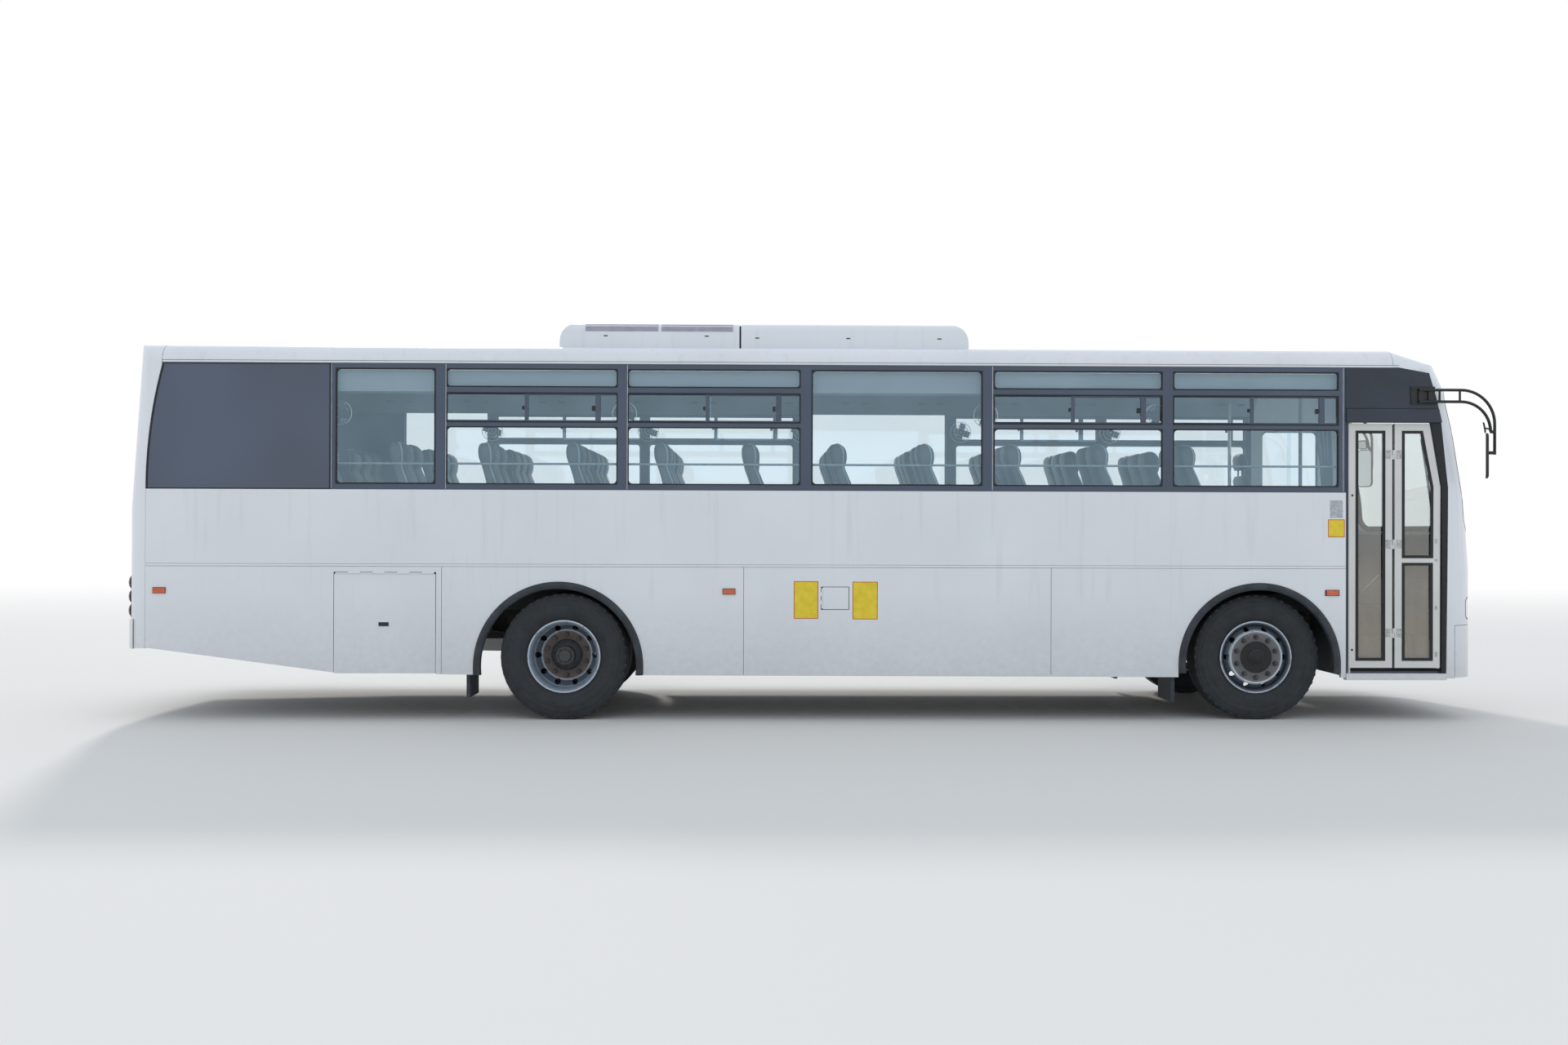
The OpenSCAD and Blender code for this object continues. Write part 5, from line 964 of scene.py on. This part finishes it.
# %% Pillar fans and duct nozzles
FAN_X = {RIGHT: (-1860, 480, 3466, 4890), LEFT: (-985, 520, 1990, 3547, 5002)}
fans, guards, nozzles = Shape(), Shape(), Shape()
blade = brick(mm(20, -2, -32), mm(88, 2, 32))
for side, places in FAN_X.items():
    for x in places:
        centre = at(x, side * 1100, 2508)
        for r, d in ((100, 0), (66, -side * 22), (34, -side * 30)):
            guards.join(turned([(r - 2, d - 3), (r + 2, d - 3), (r + 2, d + 3), (r - 2, d + 3)], centre, 32))
        for u, v in circle(24, 100)[:12]:
            wire = [centre - mm(u, 0, v), centre - mm(0, side * 32, 0), centre + mm(u, 0, v)]
            guards.join(tube(wire, 1.6, 5))
        fans.join(round_bar(centre, 34, -30, 45))
        for k in range(4):
            turn = Matrix.Rotation(math.pi * k / 2 + 0.3, 4, "Y") @ Matrix.Rotation(0.5, 4, "X")
            fans.join(blade, matrix=Matrix.Translation(centre) @ turn)
        fans.join(tube([centre, centre + mm(0, side * 85, -30)], 11, 10))
    for x in (-2560 + 725 * k + dx for k in range(13) for dx in (-90, 90)):
        nozzles.join(turned([(34, -6), (36, 3), (26, 4), (22, -6)], at(x, side * 930, 2770), 24, "Z"))
piece("pillar_fan_guards", guards, STAINLESS, smooth=60)
piece("pillar_fan_blades", fans, BLACK_PLASTIC, smooth=50)
piece("duct_nozzles", nozzles, BLACK_PLASTIC, smooth=50)
print("fans and nozzles done")

# %% [markdown]
# ## Ends of the bus
# The windscreen and the rear window sit in rubber that follows the bowed masks, so each gasket
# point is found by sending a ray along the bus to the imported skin. Behind the clear front
# lenses are two bright bowls in black bezels and an amber lamp. The round tail lamps have black
# rims and three rings moulded in the lens.

# %% Gaskets and lamps of both ends
NOSE_X, NOSE_BOW, RAY_START = 7585.0, 8725.0, 9.0
SCREEN, REAR_PANE = (1130, 1555, 2745, 140), (880, 1960, 2660, 110)


def nose_at(y, back, z):
    """A point so far behind the front's bowed face."""
    return at(NOSE_X - y * y / (2 * NOSE_BOW) - back, y, z)


def skin_of(*names):
    """Gives a finder of where a line along the bus first meets these nodes.

    The line comes from the front where end is 1, and from the rear where it is -1."""
    trees = [BVHTree.FromPolygons([NODES[name].matrix_world @ v.co for v in NODES[name].data.vertices],
                                  [tuple(f.vertices) for f in NODES[name].data.polygons]) for name in names]

    def found(y, z, end, proud=0.0):
        origin = Vector((end * RAY_START, y * MM, z * MM))
        hits = [tree.ray_cast(origin, Vector((-end, 0, 0)))[0] for tree in trees]
        nearest = max(end * hit.x for hit in hits if hit)
        return Vector((end * (nearest + proud * MM), y * MM, z * MM))
    return found


def end_ring(find, outer, inner, end, proud, deep=8.0):
    """A rubber frame that follows an end's skin between two outlines of (y, z) points."""
    rings, back = [], mm(-end * (proud + deep), 0, 0)
    for out_point, in_point in zip(outer, inner):
        a, b = find(*out_point, end, proud), find(*in_point, end, proud)
        rings.append([a, b, b + back, a + back])
    return lofted(rings, looped=True)


def pane_outline(half, z0, z1, radius, inset, steps=7, edge=14):
    """A rounded outline as seen from an end, with extra points along its straight sides."""
    corners = rounded(inset - half, z0 + inset, half - inset, z1 - inset, radius - inset, steps)
    points = []
    for i, (y, z) in enumerate(corners):
        points.append((y, z))
        if i % (steps + 1) == steps:
            next_y, next_z = corners[(i + 1) % len(corners)]
            points += [(y + (next_y - y) * k / edge, z + (next_z - z) * k / edge) for k in range(1, edge)]
    return points


front_skin, rear_skin = skin_of("front_mask", "windscreen"), skin_of("rear_mask", "rear_window")
for name, skin, pane, outside, inside, end, proud, deep, finish, slot in (
        ("windscreen_gasket", front_skin, SCREEN, -9, 17, 1, 3.0, 8.0, RUBBER, None),
        ("windscreen_black_border", front_skin, SCREEN, 17, 52, 1, 0.6, 1.0, BLACK_PLASTIC, "plastic_grey"),
        ("rear_window_gasket", rear_skin, REAR_PANE, -9, 16, -1, 3.0, 8.0, RUBBER, None)):
    ring = end_ring(skin, pane_outline(*pane, outside), pane_outline(*pane, inside), end, proud, deep)
    piece(name, ring, finish, smooth=50)

lamp_skin = skin_of("front_mask", "headlamps")
lens_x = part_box("tail_lamps")[0].x
bowls, bezels, ambers, rims, lens_rings, lamp_seals = (Shape() for _ in range(6))
for side in (RIGHT, LEFT):
    for y in (735, 885):
        centre = nose_at(side * y, 62, 922)
        bowls.join(turned([(64, 34), (56, 10), (34, -10), (6, -16), (6, -20), (38, -14), (60, 6), (68, 34)],
                          centre, 40, "X"))
        bezels.join(turned([(64, 34), (74, 34), (74, 26), (66, 26)], centre, 40, "X"))
    ambers.join(brick(nose_at(side * 975, 60, 862), nose_at(side * 1040, 44, 984)))
    for z in (880, 995, 1110):
        centre = rear_skin(side * 1066, z, -1)
        rims.join(turned([(50, 4), (60, 4), (60, -6), (50, -6)], centre, 48, "X"))
        centre.x = lens_x - 20 * MM
        lens_rings.join(*(turned([(r - 2, 20), (r, 16.5), (r + 2, 20)], centre, 40, "X")
                          for r in (14, 28, 41)))
    outer, inner = ([(side * y, z) for y, z in rounded(640 + i, 835 + i, 1162 - i, 1010 - i, 40 - i, 6)]
                    for i in (-6, 7))
    lamp_seals.join(end_ring(lamp_skin, outer, inner, 1, 2.0))
piece("headlamp_bowls", bowls, REFLECTOR, smooth=60)
piece("headlamp_bezels", bezels, BLACK_PLASTIC)
piece("turn_lamps", ambers, AMBER_LENS, bevel=6)
piece("tail_lamp_rims", rims, BLACK_PLASTIC)
piece("tail_lamp_rings", lens_rings, RED_LENS)
piece("headlamp_seals", lamp_seals, RUBBER, smooth=50)
print("lamps and gaskets done")

# %% [markdown]
# ## Mirrors
# Two bent tubes reach forward from a plate over each front pillar, with a tall mirror head and a
# small wide-angle one on their tips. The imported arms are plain, so these replace them. Each
# tube follows points on an arc, and a head is a skin over rounded outlines that shrink towards
# its back, with a thin pane in front.

# %% Mirrors
MIRROR_Y, MIRROR_Z, BEND_X, TIP_X = 1268.0, 2721.0, 7358.0, 7634.5
ARM_GAP, HEAD_TURN = 96, math.radians(24)


def mirror_head(width, height, radius, thick):
    """A rounded head and its pane, with the glass side at x = 0 and the bulged back towards +X."""
    def outline(inset, x):
        w, h = width / 2 - inset, height / 2 - inset
        return [mm(x, u, v) for u, v in rounded(-w, -h, w, h, radius - inset, 6)]
    shell = lofted([outline(4, 0), outline(0, 3), outline(0, thick * 0.55), outline(5, thick * 0.85),
                    outline(16, thick)])
    return shell, lofted([outline(9, -1.0), outline(9, 1.0)])


arms, heads, panes = Shape(), Shape(), Shape()
for side in (RIGHT, LEFT):
    y = side * MIRROR_Y
    for z, radius, drop in ((MIRROR_Z, TIP_X - BEND_X, [at(TIP_X, y, MIRROR_Z - 530)]),
                            (MIRROR_Z - ARM_GAP, TIP_X - BEND_X - 34, [])):
        bend = [at(u, y, v) for u, v in arc(BEND_X, z - radius, radius, 90, 0, 14)]
        arms.join(tube([at(7005, y, z)] + bend + drop, 12, 14))
    arms.join(*(tube([at(x, y, MIRROR_Z - ARM_GAP), at(x, y, MIRROR_Z)], 9, 10) for x in (7178, 7346)),
              tube([at(TIP_X - 36, y, MIRROR_Z - 341), at(TIP_X + 4, y, MIRROR_Z - 343)], 14, 12),
              tube([at(TIP_X, y, MIRROR_Z - 515), at(TIP_X - 50, y + side * 4, MIRROR_Z - 515)], 14, 12),
              slab(6945, MIRROR_Z - 121, 7145, MIRROR_Z + 29, side, 1, 8, HALF_W),
              *(slab(x, MIRROR_Z - 110, x + 40, MIRROR_Z + 8, side, 0, 22, HALF_W) for x in (7005, 7085)),
              *(round_bar(at(x, side * 1258, z), 8, -5, 5, 6) for x in (6960, 7130) for z in (2730, 2620)),
              tube([at(7556, side * 1272, 2408), at(7602, y, 2400)], 7, 10))
    turn = Matrix.Rotation(side * HEAD_TURN, 4, "Z")
    tall = Matrix.Translation(at(TIP_X - 52, side * 1276, MIRROR_Z - 540)) @ turn
    small = (Matrix.Translation(at(7540, side * 1272, 2412)) @ turn
             @ Matrix.Rotation(math.radians(-10), 4, "Y"))
    for sizes, place in (((186, 370, 44, 24), tall @ Matrix.Translation(mm(-25, 0, 0))),
                         ((112, 88, 22, 14), small)):
        shell, glass = mirror_head(*sizes)
        heads.join(shell, matrix=place)
        panes.join(glass, matrix=place)
piece("mirror_arms", arms, BLACK_PLASTIC, smooth=50, replaces="mirrors")
piece("mirror_heads", heads, BLACK_PLASTIC, smooth=50)
piece("mirror_panes", panes, MIRROR)
print("mirrors done")

# %% [markdown]
# ## Cab
# The driver sits on a sprung seat with a headrest, over folded bellows. A narrow grey curtain is
# tied back by the first saloon window, and a pole stands behind the driver. Cloth simulation
# would give the curtain's folds, but a sine wave along its width gives the same four folds, and
# the same ones every time.

# %% Driver's seat, curtain and partition pole
DRIVER_X, CURTAIN_Y, FOLDS, STEPS = 6350, -1122, 4, 48
DRIVER_BACK = [(400, -20, -110, 0.94), (500, -36, -138, 0.97), (650, -76, -168, 0.97),
               (800, -112, -194, 0.94), (890, -138, -212, 0.84), (928, -160, -206, 0.60)]
HEADREST = [(985, -150, -214, 0.50), (1010, -140, -226, 0.56), (1080, -142, -232, 0.58),
            (1120, -156, -226, 0.50), (1138, -180, -206, 0.30)]
CURTAIN_ROWS = ((1935, 6256, 6352), (2080, 6244, 6350), (2240, 6222, 6346), (2395, 6204, 6342))
pads = soft_box(DRIVER_X - 70, DRIVER_X + 370, 525, 975, SEAT_Z + 300, SEAT_Z + 442)
pads.join(*(back_pad(DRIVER_X, 527, 973, slices) for slices in (DRIVER_BACK, HEADREST)),
          *(tube([at(DRIVER_X - 186, y, SEAT_Z + 915), at(DRIVER_X - 184, y, SEAT_Z + 1000)], 8, 8)
            for y in (690, 810)))
driver = piece("driver_seat_pads", pads, SEAT_VINYL, smooth=60, replaces="driver_seat")
bellows = brick(at(6380, 600, SEAT_Z), at(6660, 900, SEAT_Z + 60))
for k in range(6):
    inset, z = k % 2 * 10, SEAT_Z + 60 + 38 * k
    bellows.join(brick(at(6395 + inset, 615 + inset, z), at(6645 - inset, 885 - inset, z + 38)))
piece("driver_seat_bellows", bellows, BLACK_PLASTIC, bevel=4)

curtain = Shape()
for k in range(STEPS):
    (u0, y0), (u1, y1) = ((u, CURTAIN_Y + 17 * math.sin(u * 2 * math.pi * FOLDS))
                          for u in (k / STEPS, (k + 1) / STEPS))
    strip = []
    for z, left_x, right_x in CURTAIN_ROWS:
        x0, x1 = (left_x + (right_x - left_x) * u for u in (u0, u1))
        strip.append([at(x0, y0, z), at(x1, y1, z), at(x1, y1 + 1.5, z), at(x0, y0 + 1.5, z)])
    curtain.join(lofted(strip))
piece("front_curtain", curtain, CURTAIN, smooth=60)
rod = tube([at(6190, CURTAIN_Y, 2402), at(6372, CURTAIN_Y, 2402)], 7, 10)
piece("curtain_rod", rod, STAINLESS, smooth=60)
foot = at(6078, 800, SEAT_Z)
pole = tube([foot, at(6078, 800, 2776)], 16, 16)
pole.join(turned([(16, 0), (36, 0), (36, 4), (20, 12), (16, 12)], foot, 24, "Z"))
piece("partition_pole", pole, STAINLESS, smooth=60)
print("cab done")

# %% [markdown]
# ## The camera
# The photograph was taken at eye height from almost fourteen metres to the right of the bus,
# just behind its middle, looking nearly square at the side. Its lens, turn and tilt were fitted
# to the wheels and the window line, and the numbers are set here as they came out.

# %% Camera at the photograph's place
EYE = Vector((-0.427, -13.85, 1.55))
TURN_RIGHT, TILT_UP, ROLL = math.radians(0.97), math.radians(0.30), math.radians(0.17)
camera_data = bpy.data.cameras.new("eye_height_camera")
camera_data.sensor_width, camera_data.lens = 36.0, 35.44
camera = bpy.data.objects.new("eye_height_camera", camera_data)
bpy.context.scene.collection.objects.link(camera)
camera.matrix_world = (Matrix.Translation(EYE) @ Matrix.Rotation(-TURN_RIGHT, 4, "Z")
                       @ Matrix.Rotation(math.radians(90) + TILT_UP, 4, "X") @ Matrix.Rotation(ROLL, 4, "Z"))
bpy.context.scene.camera = camera
print("camera at", tuple(round(v, 3) for v in EYE))

# %% [markdown]
# ## A plain pale floor and soft light
# The bus stands on a plain pale floor that fades into a white background, so that no horizon
# cuts behind it. One soft sun from behind and to the left throws the shadow towards the camera
# as in the open air, and an even sky fills the side that faces us. The background is made white
# only for the camera, for gloss and through glass, so that it adds no light to the bus.

# %% Floor, sky and sun
FLOOR_REACH = 60.0


def seen_rays(tree):
    """1 for what the camera, a gloss or a pane sees, and 0 for the light that falls on the bus."""
    path = add(tree, "LightPath").node
    rays = path.outputs["Is Camera Ray"]
    for name in ("Is Glossy Ray", "Is Transmission Ray"):
        rays = add(tree, "Math", {0: rays, 1: path.outputs[name]}, operation="ADD", use_clamp=True)
    return rays


def floor_finish():
    material, tree, shader = start("pale_studio_floor", Base_Color=srgb("#E6E1DA"), Roughness=0.85)
    place = add(tree, "TexCoord", out="Object")
    oval = add(tree, "VectorMath", {0: place, 1: (0.6, 1.0, 0.0)}, operation="MULTIPLY")
    away = add(tree, "VectorMath", {0: oval}, out="Value", operation="LENGTH")
    fade = add(tree, "MapRange", {"Value": away, "From Min": 9.0, "From Max": 34.0},
               interpolation_type="SMOOTHSTEP")
    share = add(tree, "Math", {0: fade, 1: seen_rays(tree)}, operation="MULTIPLY")
    white = add(tree, "Emission", {"Color": srgb("#FFFFFF"), "Strength": 1.0})
    mixed = add(tree, "MixShader", {0: share, 1: shader.outputs[0], 2: white})
    tree.links.new(mixed, tree.nodes["Material Output"].inputs["Surface"])
    return material


floor_mesh = bpy.data.meshes.new("studio_floor")
square = [(x * FLOOR_REACH, y * FLOOR_REACH, 0) for x, y in ((-1, -1), (1, -1), (1, 1), (-1, 1))]
floor_mesh.from_pydata(square, [], [(0, 1, 2, 3)])
floor = bpy.data.objects.new("studio_floor", floor_mesh)
floor_mesh.materials.append(floor_finish())
bpy.context.scene.collection.objects.link(floor)

world = bpy.data.worlds.new("soft_sky")
bpy.context.scene.world = world
world.use_nodes = True
sky = world.node_tree
fill = sky.nodes["Background"]
fill.inputs["Color"].default_value, fill.inputs["Strength"].default_value = srgb("#DFEAF7"), 1.0
backdrop = add(sky, "Background", {"Color": srgb("#FFFFFF"), "Strength": 1.0})
shown = add(sky, "MixShader", {0: seen_rays(sky), 1: fill.outputs[0], 2: backdrop})
sky.links.new(shown, sky.nodes["World Output"].inputs["Surface"])

SUN_TRAVEL = Vector((0.22, -1.0, -0.60))
sun_data = bpy.data.lights.new("low_soft_sun", "SUN")
sun_data.energy, sun_data.angle, sun_data.color = 1.1, math.radians(6), (1.0, 0.965, 0.92)
sun = bpy.data.objects.new("low_soft_sun", sun_data)
sun.matrix_world = SUN_TRAVEL.to_track_quat("-Z", "Y").to_matrix().to_4x4()
bpy.context.scene.collection.objects.link(sun)
bpy.context.scene.view_settings.view_transform = "Standard"
print("sun travels", tuple(round(v, 2) for v in SUN_TRAVEL))
